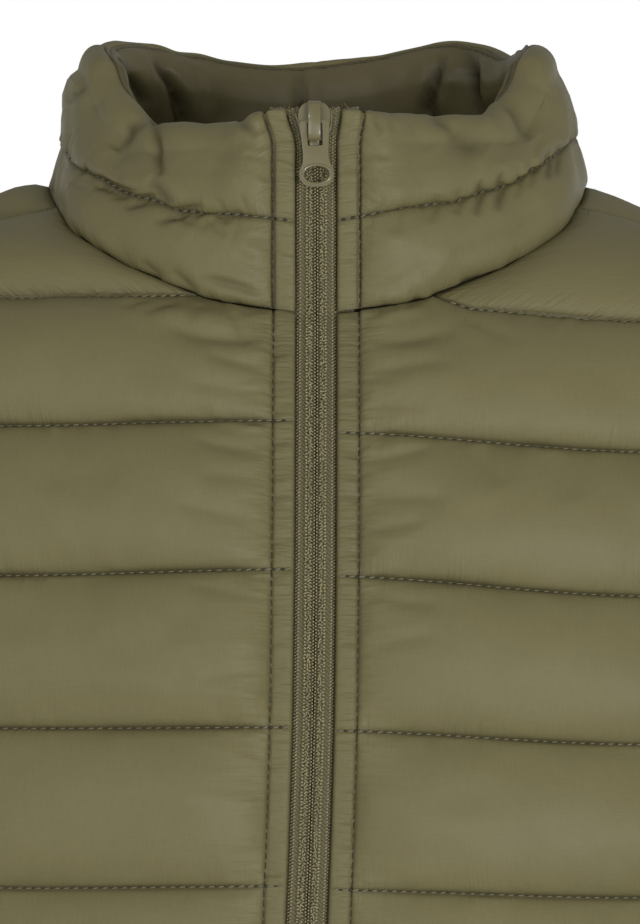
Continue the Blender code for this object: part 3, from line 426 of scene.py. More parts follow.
def mix_colour(nt, fac, a, b, kind="MIX"):
    n = nt.nodes.new("ShaderNodeMix")
    n.data_type, n.blend_type = "RGBA", kind
    for sock, v in ((n.inputs[0], fac), (n.inputs[6], a), (n.inputs[7], b)):
        if isinstance(v, (int, float)):
            sock.default_value = v
        elif isinstance(v, tuple):
            sock.default_value = (*v, 1.0)
        else:
            link(nt, v, sock)
    return n.outputs[2]


def bump(nt, height, strength, distance, normal=None):
    n = nt.nodes.new("ShaderNodeBump")
    n.inputs["Strength"].default_value = strength
    n.inputs["Distance"].default_value = distance
    link(nt, height, n.inputs["Height"])
    if normal is not None:
        link(nt, normal, n.inputs["Normal"])
    return n.outputs["Normal"]


def cloth_material(name, colour, dark, rough, sheen, spec, weave=1.0, uv=True):
    """Fine plain-woven nylon: threads as fine streaks both ways, faint clouding, and painted shade (the dark colour) in
    stitched valleys and creases.
    """
    m, nt, b = new_material(name)
    tc = nt.nodes.new("ShaderNodeTexCoord")
    if uv:
        at = nt.nodes.new("ShaderNodeUVMap")
        at.uv_map = "cloth"
        cloth = at.outputs["UV"]
    else:
        cloth = tc.outputs["Object"]
    warp = noise(nt, mapping(nt, cloth, (2600, 170, 600)), 1.0, 2.0)
    weft = noise(nt, mapping(nt, cloth, (150, 2400, 600)), 1.0, 2.0)
    cloud = noise(nt, tc.outputs["Object"], 22.0, 3.0)
    seam = nt.nodes.new("ShaderNodeAttribute")
    seam.attribute_name = "seam"
    threads = mathnode(nt, "ADD", mathnode(nt, "MULTIPLY", warp, 0.6), mathnode(nt, "MULTIPLY", weft, 0.4))
    tone = mathnode(nt, "ADD", maprange(nt, threads, 0.3, 0.7, -0.5, 0.5), maprange(nt, cloud, 0.3, 0.7, -0.25, 0.25))
    fac = maprange(nt, tone, -0.75, 0.75, 0.0, 1.0)
    light = tuple(c * 1.09 for c in colour)
    deep = tuple(c * 0.91 for c in colour)
    col = mix_colour(nt, fac, deep, light)
    # painted shade: the dark colour where the seam attribute marks stitched valleys and creases
    col = mix_colour(nt, seam.outputs["Fac"], col, dark)
    link(nt, col, b.inputs["Base Color"])
    link(nt, maprange(nt, cloud, 0.3, 0.7, rough - 0.03, rough + 0.04), b.inputs["Roughness"])
    across = noise(nt, mapping(nt, cloth, (620, 70, 1)), 1.0, 2.5, 0.55)
    along_edge = noise(nt, mapping(nt, cloth, (75, 470, 1)), 1.0, 2.5, 0.55)
    folds = None
    for key, n in (("gather_line", across), ("gather_edge", along_edge)):
        at = nt.nodes.new("ShaderNodeAttribute")
        at.attribute_name = key
        part = mathnode(nt, "MULTIPLY", at.outputs["Fac"], n)
        folds = part if folds is None else mathnode(nt, "ADD", folds, part)
    first = bump(nt, folds, 1.0, 0.00115)
    height = mathnode(nt, "ADD", warp, weft)
    link(nt, bump(nt, height, 0.45 * weave, 0.00014, first), b.inputs["Normal"])
    b.inputs["Sheen Weight"].default_value = sheen
    b.inputs["Sheen Roughness"].default_value = 0.45
    b.inputs["Sheen Tint"].default_value = (0.60, 0.54, 0.28, 1.0)
    b.inputs["Specular IOR Level"].default_value = spec
    return m


def plain_material(name, colour, rough, metallic=0.0, coat=0.0, grain=900.0, amount=0.06, depth=0.00003, sheen=0.0):
    m, nt, b = new_material(name)
    tc = nt.nodes.new("ShaderNodeTexCoord")
    n = noise(nt, tc.outputs["Object"], grain, 2.0)
    big = noise(nt, tc.outputs["Object"], grain / 12, 2.0)
    fac = mathnode(nt, "ADD", mathnode(nt, "MULTIPLY", n, 0.5), mathnode(nt, "MULTIPLY", big, 0.5))
    col = mix_colour(nt, maprange(nt, fac, 0.3, 0.7, 0.0, 1.0), tuple(c * (1 - amount) for c in colour),
                     tuple(c * (1 + amount) for c in colour))
    link(nt, col, b.inputs["Base Color"])
    link(nt, maprange(nt, big, 0.3, 0.7, rough - 0.04, rough + 0.05), b.inputs["Roughness"])
    link(nt, bump(nt, n, 0.3, depth), b.inputs["Normal"])
    b.inputs["Metallic"].default_value = metallic
    b.inputs["Coat Weight"].default_value = coat
    b.inputs["Coat Roughness"].default_value = 0.12
    b.inputs["Sheen Weight"].default_value = sheen
    return m


def tape_material(name, colour):
    """Woven zip tape: a fine twill whose diagonals lean one way."""
    m, nt, b = new_material(name)
    tc = nt.nodes.new("ShaderNodeTexCoord")
    w = nt.nodes.new("ShaderNodeTexWave")
    w.wave_type, w.bands_direction, w.wave_profile = "BANDS", "DIAGONAL", "SIN"
    w.inputs["Scale"].default_value = 1.0
    w.inputs["Distortion"].default_value = 1.2
    w.inputs["Detail"].default_value = 1.0
    link(nt, mapping(nt, tc.outputs["Object"], (420, 60, 420)), w.inputs["Vector"])
    n = noise(nt, tc.outputs["Object"], 1700.0, 2.0)
    both = mathnode(nt, "ADD", mathnode(nt, "MULTIPLY", w.outputs["Fac"], 0.55), mathnode(nt, "MULTIPLY", n, 0.6))
    col = mix_colour(nt, maprange(nt, both, 0.2, 0.9, 0.0, 1.0), tuple(c * 0.62 for c in colour), tuple(c * 1.25 for c in colour))
    link(nt, col, b.inputs["Base Color"])
    b.inputs["Roughness"].default_value = 0.75
    b.inputs["Sheen Weight"].default_value = 0.25
    b.inputs["Specular IOR Level"].default_value = 0.3
    link(nt, bump(nt, both, 0.5, 0.00025), b.inputs["Normal"])
    return m


SHELL = (0.160, 0.142, 0.0655)
# the second colour of each cloth is painted shade, mixed in at stitched valleys and creases
M_SHELL = cloth_material("shell_nylon", SHELL, (0.042, 0.036, 0.016), 0.50, 0.02, 0.22)
M_LINING = cloth_material("lining_nylon", (0.080, 0.071, 0.040), (0.04, 0.036, 0.02), 0.42, 0.15, 0.45, 0.7)
# facing cloth, darker than the shell: partly its own colour, partly painted shade of the collar's inside; its second
# colour is painted crease shade
M_FACING = cloth_material("facing_satin_shaded", (0.118, 0.100, 0.046), (0.016, 0.013, 0.006), 0.44, 0.02, 0.26, 0.6)
M_THREAD = plain_material("thread_light", (0.150, 0.132, 0.068), 0.5, grain=2500.0, amount=0.15, sheen=0.05)
# dark thread of the topstitches, its darkness partly painted shade of the sunken stitch valley; the same colour paints
# the shade of the needle holes
M_DARK_THREAD_AND_SHADE = plain_material("thread_dark_and_hole_shade", (0.026, 0.022, 0.010), 0.65, grain=2500.0, amount=0.2)
M_TAPE = tape_material("zip_tape_weave", (0.128, 0.112, 0.056))
M_COIL = plain_material("zip_coil_nylon", (0.120, 0.105, 0.052), 0.45, grain=1500.0, amount=0.12)
M_BEAD = plain_material("zip_thread_loops", (0.320, 0.284, 0.150), 0.42, grain=1500.0, amount=0.15)
M_ENAMEL = plain_material("zip_enamel", (0.140, 0.120, 0.050), 0.30, metallic=0.0, coat=0.55, grain=700.0, amount=0.05, depth=0.00002)


# ---------------------------------------------------------------- stitches and beads
def capsule(sides, rings, length, radius):
    """A rounded bar along x, flattened a little at the ends."""
    verts, faces = [(-length / 2, 0, 0)], []
    xs = np.cos(np.linspace(np.pi, 0, rings + 2))[1:-1]
    for x in xs:
        r = radius * (1 - abs(x) ** 3.5) ** 0.5
        for j in range(sides):
            a = 2 * np.pi * j / sides
            verts.append((x * length / 2, r * math.cos(a), r * math.sin(a)))
    verts.append((length / 2, 0, 0))
    last = len(verts) - 1
    for j in range(sides):
        k = (j + 1) % sides
        faces.append((0, 1 + k, 1 + j))
        for i in range(rings - 1):
            a, b = 1 + i * sides + j, 1 + i * sides + k
            faces.append((a, b, b + sides, a + sides))
        faces.append((last - sides + j, last - sides + k, last))
    return np.array(verts, float), faces


def bead(sides, rings, rx, ry, rz):
    v, f = capsule(sides, rings, 2.0, 1.0)
    x = v[:, 0].copy()
    r = np.sqrt(np.maximum(1 - x ** 2, 0))
    yz = v[:, 1:] / np.maximum(np.linalg.norm(v[:, 1:], axis=1, keepdims=True), 1e-9)
    out = np.stack([x * rx, yz[:, 0] * r * ry, yz[:, 1] * r * rz], 1)
    return out, f


def scatter(name, parts, mat, body="coat"):
    """One joined mesh from templates put at many places: parts are (verts, faces, origins, axes as columns)."""
    verts, faces, base = [], [], 0
    for tv, tf, origin, axes in parts:
        if not len(origin):
            continue
        v = origin[:, None, :] + np.einsum("nij,kj->nki", axes, tv)
        verts.append(v.reshape(-1, 3))
        n, k = len(origin), len(tv)
        for f in tf:
            idx = base + (np.arange(n) * k)[:, None] + np.array(f)[None, :]
            faces += idx.tolist()
        base += n * k
    ob = build_mesh(name, np.concatenate(verts), faces, [mat])
    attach(ob, body)
    return ob


def along(points, normals, pitch, start=0.0, end=0.0):
    """Places every pitch along a line: position, direction, outward normal."""
    d = np.concatenate([[0], np.cumsum(np.linalg.norm(np.diff(points, axis=0), axis=1))])
    total = d[-1]
    n = int((total - start - end) / pitch)
    if n < 1:
        return np.zeros((0, 3)), np.zeros((0, 3)), np.zeros((0, 3))
    s = start + pitch * (np.arange(n) + 0.5)
    p = np.stack([np.interp(s, d, points[:, i]) for i in range(3)], 1)
    e = 0.0004
    q = np.stack([np.interp(np.minimum(s + e, total), d, points[:, i]) - np.interp(np.maximum(s - e, 0), d, points[:, i]) for i in range(3)], 1)
    m = np.stack([np.interp(s, d, normals[:, i]) for i in range(3)], 1)
    return p, unit(q), unit(m)


def axes_of(direction, normal, turn=None):
    side = unit(np.cross(normal, direction))
    normal = unit(np.cross(direction, side))
    if turn is not None:
        c, s = np.cos(turn)[:, None], np.sin(turn)[:, None]
        direction, side = direction * c + side * s, side * c - direction * s
    return np.stack([direction, side, normal], -1)


STITCHES = {}


def stitch_line(group, points, normals, fine=True, length=0.0021, radius=0.00023, pitch=0.0030, lift=0.0001, slant=0.10,
                dark=False, seed=1, start=0.0, end=0.0):
    p, d, n = along(points, normals, pitch, start, end)
    if not len(p):
        return
    rng = np.random.default_rng(seed + len(p))
    turn = slant + rng.normal(0, 0.06, len(p))
    tv, tf = capsule(6, 4, length, radius) if fine else capsule(3, 2, length, radius * 1.2)
    scale = 1 + rng.normal(0, 0.05, len(p))
    axes = axes_of(d, n, turn) * scale[:, None, None]
    p = p + n * lift + d * rng.normal(0, 0.00008, len(p))[:, None]
    STITCHES.setdefault((group, dark), []).append((tv, tf, p, axes))


def hole_shade_line(group, points, normals, pitch=0.0030, size=0.00036, lift=0.0, seed=3, start=0.0, end=0.0):
    """Painted shade of the needle holes between the stitches: small dark beads."""
    p, d, n = along(points, normals, pitch, start + pitch / 2, end)
    if not len(p):
        return
    tv, tf = bead(6, 3, size * 1.4, size, size * 0.5)
    STITCHES.setdefault((group, True), []).append((tv, tf, p + n * lift, axes_of(d, n)))


def finish_stitches():
    for (group, dark), parts in STITCHES.items():
        scatter(f"stitches_{group}{'_dark' if dark else ''}", parts, M_DARK_THREAD_AND_SHADE if dark else M_THREAD)


# ---------------------------------------------------------------- fronts
FINE_CHANNELS = 5
STRIP_X = [ZIP_EDGE + d * MM for d in (0.0, 0.08, 0.3, 0.6, 1.0, 1.7, 2.4, 3.1, 3.8, 4.5, 5.1, 5.7, 6.15, 6.5)]
STITCH_X = [TOPSTITCH + d * MM for d in (0.0, 0.3, 0.65, 1.1, 1.6, 2.2)]
A_COLS = np.array(STRIP_X + STITCH_X + list(np.arange(TOPSTITCH + 2.9 * MM, INNER_COL - 0.3 * MM, 0.72 * MM)) + [INNER_COL])
B_COLS = np.concatenate([np.linspace(0, 0.34, 41)[1:], 0.34 + 0.66 * (np.linspace(0, 1, 27)[1:] ** 1.0)])
N_A, N_B = len(A_COLS), len(B_COLS)


def front_base(k, t, side, cols_only_outer=False):
    """Stitched surface of channel k at rows t: points, and for each the fraction f to the outer edge (0 at the inner columns)."""
    t = np.asarray(t, float)
    T = t[:, None]
    if k < 5:
        th = armhole_theta(k, t)
        pe = armhole(th, 1)
        phi_e, z_e = phi_of_y(pe[:, 1], pe[:, 2]), pe[:, 2]
    else:
        phi_e, z_e = np.full(len(t), 90.0), lerp(side_z(k), side_z(k + 1), t)
    F = B_COLS[None, :]
    if k == 0:
        f = B_COLS
        z0, z1 = float(neck(NECK_SHOULDER)[2]), float(armhole(SHOULDER_THETA, 1)[2])
        zs = lerp(z0, z1, f)
        y0 = float(neck(NECK_SHOULDER)[1])
        ys = lerp(y0, lerp(SHOULDER_Y, float(armhole(SHOULDER_THETA, 1)[1]), step(f, 0.75, 1.0)), step(f, 0.0, 0.2))
        top_phi, top_z = phi_of_y(ys, zs), zs
        low_phi, low_z = front_line(1, side)
        psi = lerp(NECK_SHOULDER, float(psi_of_x(INNER_COL)), t)
        pn = neck(psi)
        phi0, zz0 = phi_of_x(pn[:, 0], pn[:, 2]), pn[:, 2]
        low0_phi, low0_z = phi_of_x(INNER_COL, read(NECK, psi_of_x(INNER_COL))), read(NECK, psi_of_x(INNER_COL))
        top0_phi, top0_z = phi_of_y(y0, z0), z0
        base_phi0, base_z0 = lerp(top0_phi, low0_phi, t), lerp(top0_z, low0_z, t)
        fade = np.clip(1 - F / 0.42, 0, 1) ** 2
        phi = lerp(top_phi[None, :], low_phi[None, :], T) + (phi0 - base_phi0)[:, None] * fade
        z = lerp(top_z[None, :], low_z[None, :], T) + (zz0 - base_z0)[:, None] * fade
        phi_last, z_last = phi[:, -1:].copy(), z[:, -1:].copy()
        phi = phi + (phi_e[:, None] - phi_last) * F ** 6
        z = z + (z_e[:, None] - z_last) * F ** 6
        phi = np.concatenate([phi0[:, None], phi], 1)
        z = np.concatenate([zz0[:, None], z], 1)
        p = ring(side * phi, z)
        return p, np.concatenate([[0.0], B_COLS])
    X = A_COLS[None, :]
    if k == 1:
        top = read(NECK, psi_of_x(A_COLS))[None, :] - SEAM_GAP
    else:
        top = line_z(k, side, A_COLS)[None, :]
    za = lerp(top, line_z(k + 1, side, A_COLS)[None, :], T)
    pa = phi_of_x(X + 0 * T, za)
    phi_f, z_f = pa[:, -1:], za[:, -1:]
    phi = lerp(phi_f, phi_e[:, None], F)
    z = lerp(z_f, z_e[:, None], F)
    for _ in range(5):
        x = np.abs(ring(phi, z)[..., 0])
        top = line_z(k, side, x)
        if k == 1:
            top = lerp(float(read(NECK, psi_of_x(INNER_COL))) - SEAM_GAP, top, step(F, -0.012, 0.045))
        z = lerp(top, line_z(k + 1, side, x), T)
    end = lerp(line_z(k, side, 0.19), line_z(k + 1, side, 0.19), t)
    z = z + (z_e - end)[:, None] * F ** 4
    phi = np.concatenate([pa, phi], 1)
    z = np.concatenate([za, z], 1)
    phi[:, -1], z[:, -1] = phi_e, z_e
    p = ring(side * phi, z)
    return p, np.concatenate([np.zeros(N_A), B_COLS])


def front_line(k, side):
    """Angle and height along quilting line k of a front, at the outer columns."""
    z_e = side_z(k) if k >= 5 else float(armhole(armhole_theta(k, 0.0), 1)[2])
    pe = armhole(armhole_theta(k, 0.0), 1) if k < 5 else None
    phi_e = float(phi_of_y(pe[1], pe[2])) if k < 5 else 90.0
    z_first = float(read(NECK, psi_of_x(INNER_COL))) - SEAM_GAP if k == 1 else float(line_z(k, side, INNER_COL))
    phi_first = float(phi_of_x(INNER_COL, z_first))
    F = B_COLS
    phi, z = lerp(phi_first, phi_e, F), lerp(z_first, z_e, F)
    for _ in range(5):
        x = np.abs(ring(phi, z)[..., 0])
        z = line_z(k, side, x)
        if k == 1:
            z = lerp(z_first, z, step(F, -0.012, 0.045))
    z = z + (z_e - line_z(k, side, 0.19)) * F ** 4
    phi[-1], z[-1] = phi_e, z_e
    return phi, z


def edge_gain(z, f):
    """How much a puff is held back near the side seam and the armhole."""
    low = 0.8 * lerp(0.2, 1.0, step(UNDERARM_Z - z, 0.0, 0.10))
    g = np.where(z < UNDERARM_Z + 0.035, low, 0.75)
    return lerp(1.0, g, step(f, 0.66, 0.88)) * (1 - np.exp(-np.maximum(1 - f, 0) / 0.035))


def puckers(side, seed, z, x, edge, top, bottom):
    """Small gathers square to a stitched edge that runs downwards, as ridges of uneven length and spacing."""
    rng = np.random.default_rng(seed)
    out = np.zeros_like(z)
    d = x - edge
    for big in (False, True):
        zc = top
        while zc > bottom:
            width = (rng.uniform(1.5, 2.6) if big else rng.uniform(0.55, 1.0)) * MM
            height = (rng.uniform(0.45, 0.90) if big else rng.uniform(0.30, 0.88)) * MM
            length = (rng.uniform(11.0, 22.0) if big else rng.uniform(2.4, 6.5)) * MM
            slope = rng.normal(0.12, 0.26) if big else rng.normal(0.0, 0.20)
            sel = (np.abs(z - zc) < 5 * width + 0.012)
            if sel.any():
                zz = z[sel] - zc - slope * d[sel]
                w = width * (1 + d[sel] / 0.030)
                rise = np.clip(d[sel] / (0.004 if big else 0.0005), 0, 1)
                out[sel] += height * rise * np.exp(-np.abs(zz / w) ** 1.35) * np.exp(-np.maximum(d[sel], 0) / length)
            zc -= (rng.uniform(8.0, 17.0) if big else rng.uniform(1.7, 3.3)) * MM
    return out


# soft creases placed near the neck and the zip: from, to in mm on the front, width, height, bend
CREASES_LEFT = (
    (-16, -49, -46, -46, 3.2, -1.3, 2.0), (-15, -58, -34, -55, 2.2, -0.7, 0.5), (-17, -66, -40, -64, 2.6, -0.5, 0.0),
    (-24, -44, -58, -40, 4.0, 0.9, 1.0), (-15, -84, -38, -80, 2.6, -0.8, 1.0), (-15, -93, -36, -92, 2.4, -0.5, 0.0),
    (-16, -104, -44, -100, 3.0, -0.6, 1.0), (-44, -37, -54, -43, 1.8, -0.8, 0.0), (-36, -38, -40, -46, 1.5, -0.5, 0.0),
    (-52, -36, -60, -41, 1.6, -0.5, 0.0), (-26, -41, -21, -51, 1.5, -0.45, 0.0), (-15, -78, -33, -73, 1.8, 0.5, 0.0),
    (-15, -128, -40, -124, 2.6, -0.5, 0.5), (-15, -150, -36, -153, 2.4, -0.45, 0.0), (-60, -90, -85, -96, 7.0, -0.6, 0.0),
)
CREASES_RIGHT = (
    (16, -50, 44, -46, 3.0, -1.0, -1.5), (15, -44, 34, -39, 2.0, 0.6, 0.0), (15, -60, 42, -57, 2.6, -0.6, 0.0),
    (15, -69, 34, -71, 2.2, -0.5, 0.0), (15, -86, 36, -82, 2.4, -0.7, -1.0), (15, -97, 40, -99, 2.6, -0.6, 0.0),
    (15, -108, 33, -106, 2.0, -0.5, 0.0), (46, -42, 62, -52, 3.0, -0.5, 0.0), (50, -82, 56, -96, 5.0, -0.5, 0.0),
    (72, -84, 78, -100, 5.5, -0.45, 0.0), (15, -128, 38, -131, 2.4, -0.5, 0.0), (15, -142, 36, -140, 2.4, -0.45, 0.0),
)


def front_height(p, k, t, f, side, col_x):
    """How far the skin stands off the stitched surface."""
    T = np.asarray(t, float)[:, None]
    x, z = p[..., 0], p[..., 2]
    s = np.abs(col_x)[None, :] + 0 * T
    length = np.linalg.norm(p[-1] - p[0], axis=-1)[None, :]
    d_line = np.minimum(T, 1 - T) * length
    far = np.clip(1 - np.exp(-(np.maximum(s - TOPSTITCH, 0) / 0.0085) ** 0.85), 0, 1)
    gain = far * edge_gain(z, f[None, :])
    if k == 0:
        gain = (1 - np.exp(-(np.maximum(s - col_x[0], 0) / 0.009) ** 0.9)) * edge_gain(z, f[None, :])
    wave = 1 + 0.07 * noise2(s / 0.045 + 7.3 * k, T * 1.2 + k, 40 + side) + 0.04 * noise2(s / 0.018, T * 3 + 5.1 * k, 60 + side)
    h = PUFF * puff(T, 1.14) * gain * wave
    if k == 1:
        h = h * (1 - 0.55 * np.exp(-((s - 0.041) / 0.018) ** 2) * (1 - T) ** 2)
    inner = np.clip(h / (0.35 * PUFF), 0, 1)
    # broad soft unevenness of the filling
    h = h + inner * 0.0007 * noise2(x / 0.024, z / 0.020, 77 + side) + inner * 0.00035 * noise2(x / 0.010, z / 0.009, 78 + side)
    # gathers along the quilting lines, above and below
    seam_len = 0.0042 * (1 + 0.6 * noise1(s / 0.013, 11 + k + side))
    below = noise1(s / 0.0030 + 0.12 * d_line / MM, 200 + k * 2 + side) * 0.75 + noise1(s / 0.0013, 220 + k * 2 + side) * 0.25
    above = noise1(s / 0.0034 - 0.10 * d_line / MM, 300 + k * 2 + side)
    gather = np.where(T < 0.5, below * 1.15, above * 0.75)
    near = np.clip(d_line / 0.0012, 0, 1)
    patchy = 0.55 + 0.55 * noise1(s / 0.021, 400 + k + side)
    h = h + (s > TOPSTITCH) * 0.00095 * gather * patchy * near * np.exp(-d_line / seam_len)
    if k >= 1:
        # gathers beside the topstitch and the long soft ones that run out from it
        ease = np.clip((s - TOPSTITCH) / 0.0012, 0, 1) * np.clip(d_line / 0.003, 0, 1)
        h = h + ease * (puckers(side, 500 + side, z, s, TOPSTITCH, -0.040, HEM_Z) - 0.00012 * np.exp(-(s - TOPSTITCH) / 0.006))
    if k <= 4:
        for c in CREASES_LEFT if side < 0 else CREASES_RIGHT:
            h = h + inner ** 0.35 * 1.9 * fold(x, z, *c)
    return h, d_line, s


def line_marks(d_line, s, seed, top=TOPSTITCH):
    """How strongly the cloth is gathered, near the quilting lines and near the stitched edge."""
    patch = np.clip(0.55 + 0.6 * noise1(s / 0.017, seed), 0.1, 1)
    line = np.exp(-d_line / 0.0036) * patch * (s > top)
    edge = np.where(s > top, np.exp(-(s - top) / 0.0050), 0.85)
    return line, edge


def strip_height(p, s, T, d_line, side):
    """The flat strip between the zip's folded edge and the topstitch: nearly flat, with tight gathers across it."""
    z = p[..., 2]
    across = np.clip((s - ZIP_EDGE) / (TOPSTITCH - ZIP_EDGE), 0, 1)
    on = (s <= TOPSTITCH + 1e-9)
    h = 0.00055 * (4 * across * (1 - across)) ** 0.6
    rib = noise1(z / 0.0016 + 0.5 * noise1(z / 0.009, 620 + side) + across * 0.9 * noise1(z / 0.014, 621 + side), 600 + side)
    rib2 = noise1(z / 0.0034 + across * 0.6, 610 + side)
    fade = lerp(0.35, 1.0, across) * np.clip((1 - across) / 0.10, 0, 1) ** 0.7
    rib2 = np.where(rib2 < 0, 1.4 * rib2, 0.8 * rib2)
    h = h + (0.00022 * rib + 0.00060 * rib2) * fade
    h = h - 0.00050 * np.exp(-(d_line / 0.0008) ** 2)
    roll = 0.0010
    a = np.clip((s - ZIP_EDGE) / roll, 0, 1)
    h = h - roll * (1 - np.sqrt(np.maximum(1 - (1 - a) ** 2, 0)))
    return np.where(on, h, 0.0)


def panel_seam_shade(d_line, s, f):
    """How much painted shade darkens the colour in the stitched valleys next to the stitches; the flat strip beside the
    zip is a little darker too.
    """
    a = 0.75 * np.exp(-(d_line / 0.0008) ** 1.3) * (s > TOPSTITCH)
    b = 0.28 * np.exp(-(np.abs(s - TOPSTITCH) / 0.00045) ** 1.4) + 0.10 * (s < TOPSTITCH - 0.0004)
    return np.clip(np.maximum(a, b), 0, 1)


def channel_rows(k):
    if k < FINE_CHANNELS:
        return 70
    return 30 if k == FINE_CHANNELS else 10


def build_front(name, side):
    sh = Shell()
    base_rows, skins, ids, seams = {}, {}, {}, {}
    # the part below the first line, as one grid
    P, Hh, S, D, TT, FF, first_row = [], [], [], [], [], [], []
    col_x = None
    row_at = {}
    for k in range(1, N_LINES):
        t = rows_in(channel_rows(k))
        p, f = front_base(k, t, side)
        if col_x is None:
            d = arc(p[:1], 1)[0]
            col_x = np.concatenate([A_COLS, A_COLS[-1] + (d[N_A:] - d[N_A - 1])])
        h, d_line, s = front_height(p, k, t, f, side, col_x)
        hs = strip_height(p, s, t[:, None], d_line, side)
        # the topstitch lies in a narrow trough
        h = h + hs - 0.00055 * np.exp(-((s - TOPSTITCH) / 0.0005) ** 2)
        if k > 1:
            p, h, d_line, s, t = p[1:], h[1:], d_line[1:], s[1:], t[1:]
        row_at[k] = sum(len(q) for q in P) - (0 if k == 1 else 1)
        P.append(p), Hh.append(h), D.append(d_line), S.append(s)
    row_at[N_LINES] = sum(len(q) for q in P) - 1
    P, Hh, D, S = (np.concatenate(q) for q in (P, Hh, D, S))
    # seams: the edge to the back, the armhole and the neck keep their gaps
    low = P[:, -1, 2] < UNDERARM_Z - 1e-6
    P[low, -1, 1] = -SEAM_GAP
    P[:, -1, 0] -= side * SEAM_GAP
    ref = np.stack([P[..., 0] * 1.0, P[..., 1], 0 * P[..., 2]], -1)
    N = grid_normals(P, ref)
    Q = P + N * Hh[..., None]
    uv = np.stack([S, -P[..., 2]], -1)
    seam = panel_seam_shade(D, S, None)
    outer = sh.add(Q, uv, seam, line_marks(D, S, 1500 + side))
    sh.quads(outer)
    # the shoulder channel above the first line, welded to it
    t0 = rows_in(30)
    p0, f0 = front_base(0, t0, side)
    p0[-1] = P[0, N_A - 1:]
    d0 = arc(p0, 1)
    col0 = d0.mean(0)
    h0, dl0, s0 = front_height(p0, 0, t0, f0, side, col0)
    p0[:, -1, 0] -= side * SEAM_GAP
    p0[0, :, 1] -= SEAM_GAP
    ref0 = np.stack([p0[..., 0] * 1.0, p0[..., 1], 0.05 + 0 * p0[..., 2]], -1)
    n0 = grid_normals(p0, ref0)
    q0 = p0 + n0 * h0[..., None]
    uv0 = np.stack([0.043 + s0, -p0[..., 2]], -1)
    # painted shade in the stitched valleys of the shoulder channel
    seam0 = 0.5 * np.exp(-dl0 / 0.0009)
    up = sh.add(q0[:-1], uv0[:-1], seam0[:-1], (np.exp(-dl0[:-1] / 0.004), np.exp(-s0[:-1] / 0.006)))
    up = np.concatenate([up, outer[:1, N_A - 1:]], 0)
    sh.quads(up)
    # inner skin: coarse, following the same surface, WALL behind it
    ri = np.unique(np.concatenate([pick(row_at[6] + 1, 46), [row_at[k] for k in range(6, N_LINES + 1)]]))
    ci = np.unique(np.concatenate([[0, 8, len(STRIP_X)], len(STRIP_X) + pick(N_A - len(STRIP_X), 9), N_A - 1 + pick(N_B + 1, 22)]))
    ci = ci[ci < P.shape[1]]
    inner_p = P[np.ix_(ri, ci)] - N[np.ix_(ri, ci)] * WALL
    inner = sh.add(inner_p, uv[np.ix_(ri, ci)])
    sh.quads(inner, 1, True)
    ri0 = pick(len(p0), 14)
    ci0 = np.array([c - (N_A - 1) for c in ci if c >= N_A - 1])
    ip0 = p0[np.ix_(ri0, ci0)] - n0[np.ix_(ri0, ci0)] * WALL
    up_in = sh.add(ip0[:-1], uv0[np.ix_(ri0, ci0)][:-1])
    up_in = np.concatenate([up_in, inner[:1, len(ci) - len(ci0):]], 0)
    sh.quads(up_in, 1, True)
    # borders
    sh.zipper(outer[:, 0], inner[:, 0])
    sh.zipper(outer[-1], inner[-1])
    sh.zipper(outer[:, -1], inner[:, -1])
    sh.zipper(outer[0, :N_A], inner[0, :len(ci) - len(ci0) + 1])
    sh.zipper(up[:, 0], up_in[:, 0])
    sh.zipper(up[0], up_in[0])
    sh.zipper(up[:, -1], up_in[:, -1])
    ob = sh.object(name, [M_SHELL, M_LINING])
    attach(ob, "coat")
    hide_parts("front_left" if side < 0 else "front_right")
    # stitches along every line and beside the zip
    sname = "left" if side < 0 else "right"
    c0 = int(np.argmin(np.abs(A_COLS - TOPSTITCH)))
    for k in range(1, N_LINES):
        r = row_at[k]
        fine = k <= 5
        if k == 1:
            pts, nrm = P[r, N_A + 1:], N[r, N_A + 1:]
        else:
            pts, nrm = P[r], N[r]
        stitch_line(f"front_{sname}", pts, nrm, fine, length=0.0021, radius=0.00033, lift=0.00036, slant=0.24, seed=k,
                    start=0.0004, end=0.002)
        if fine:
            hole_shade_line(f"front_{sname}", pts, nrm, size=0.00046, lift=0.00022, start=0.0004, end=0.002)
    top = Q[:, c0]
    stitch_line(f"topstitch_{sname}", top[: row_at[6]], N[: row_at[6], c0], True, length=0.0024, radius=0.00032, lift=0.00005,
                slant=-0.14 * side, dark=True, seed=9)
    stitch_line(f"topstitch_{sname}", top[row_at[6]:], N[row_at[6]:, c0], False, length=0.0022, radius=0.00027, lift=0.00004,
                slant=-0.14 * side, dark=True, seed=9)
    stitch_line(f"front_{sname}", p0[0, 2:-2] + n0[0, 2:-2] * 0.0, n0[0, 2:-2], False, lift=0.0003, seed=31)
    return ob, P, N, Q


# ---------------------------------------------------------------- back
WING_Q = np.linspace(1, 0, 46)
CENTRE_G = np.linspace(1, 0, 25)[1:]


def wing_fraction(q):
    return np.interp(q, (0, 0.3, 0.6, 0.88, 1), (0, 0.22, 0.45, 0.68, 1))


def back_line_z(k, phi):
    centre = BACK_LINES[k - 1] if k <= 5 else side_z(k)
    return lerp(side_z(k), centre, step(np.abs(phi), 100.0, 160.0))


def ridge_line():
    """Angle and height of the line over the shoulder ridge, at the wing columns, armhole first."""
    q = WING_Q
    a, n = armhole(-SHOULDER_THETA * 0.9, 1), neck(NECK_BACK_LINE)
    z = lerp(float(n[2]), float(a[2]), q)
    y = lerp(lerp(float(n[1]), 0.030, step(q, 0.0, 0.25)), float(a[1]), step(q, 0.6, 1.0))
    return phi_of_y(y, z), z


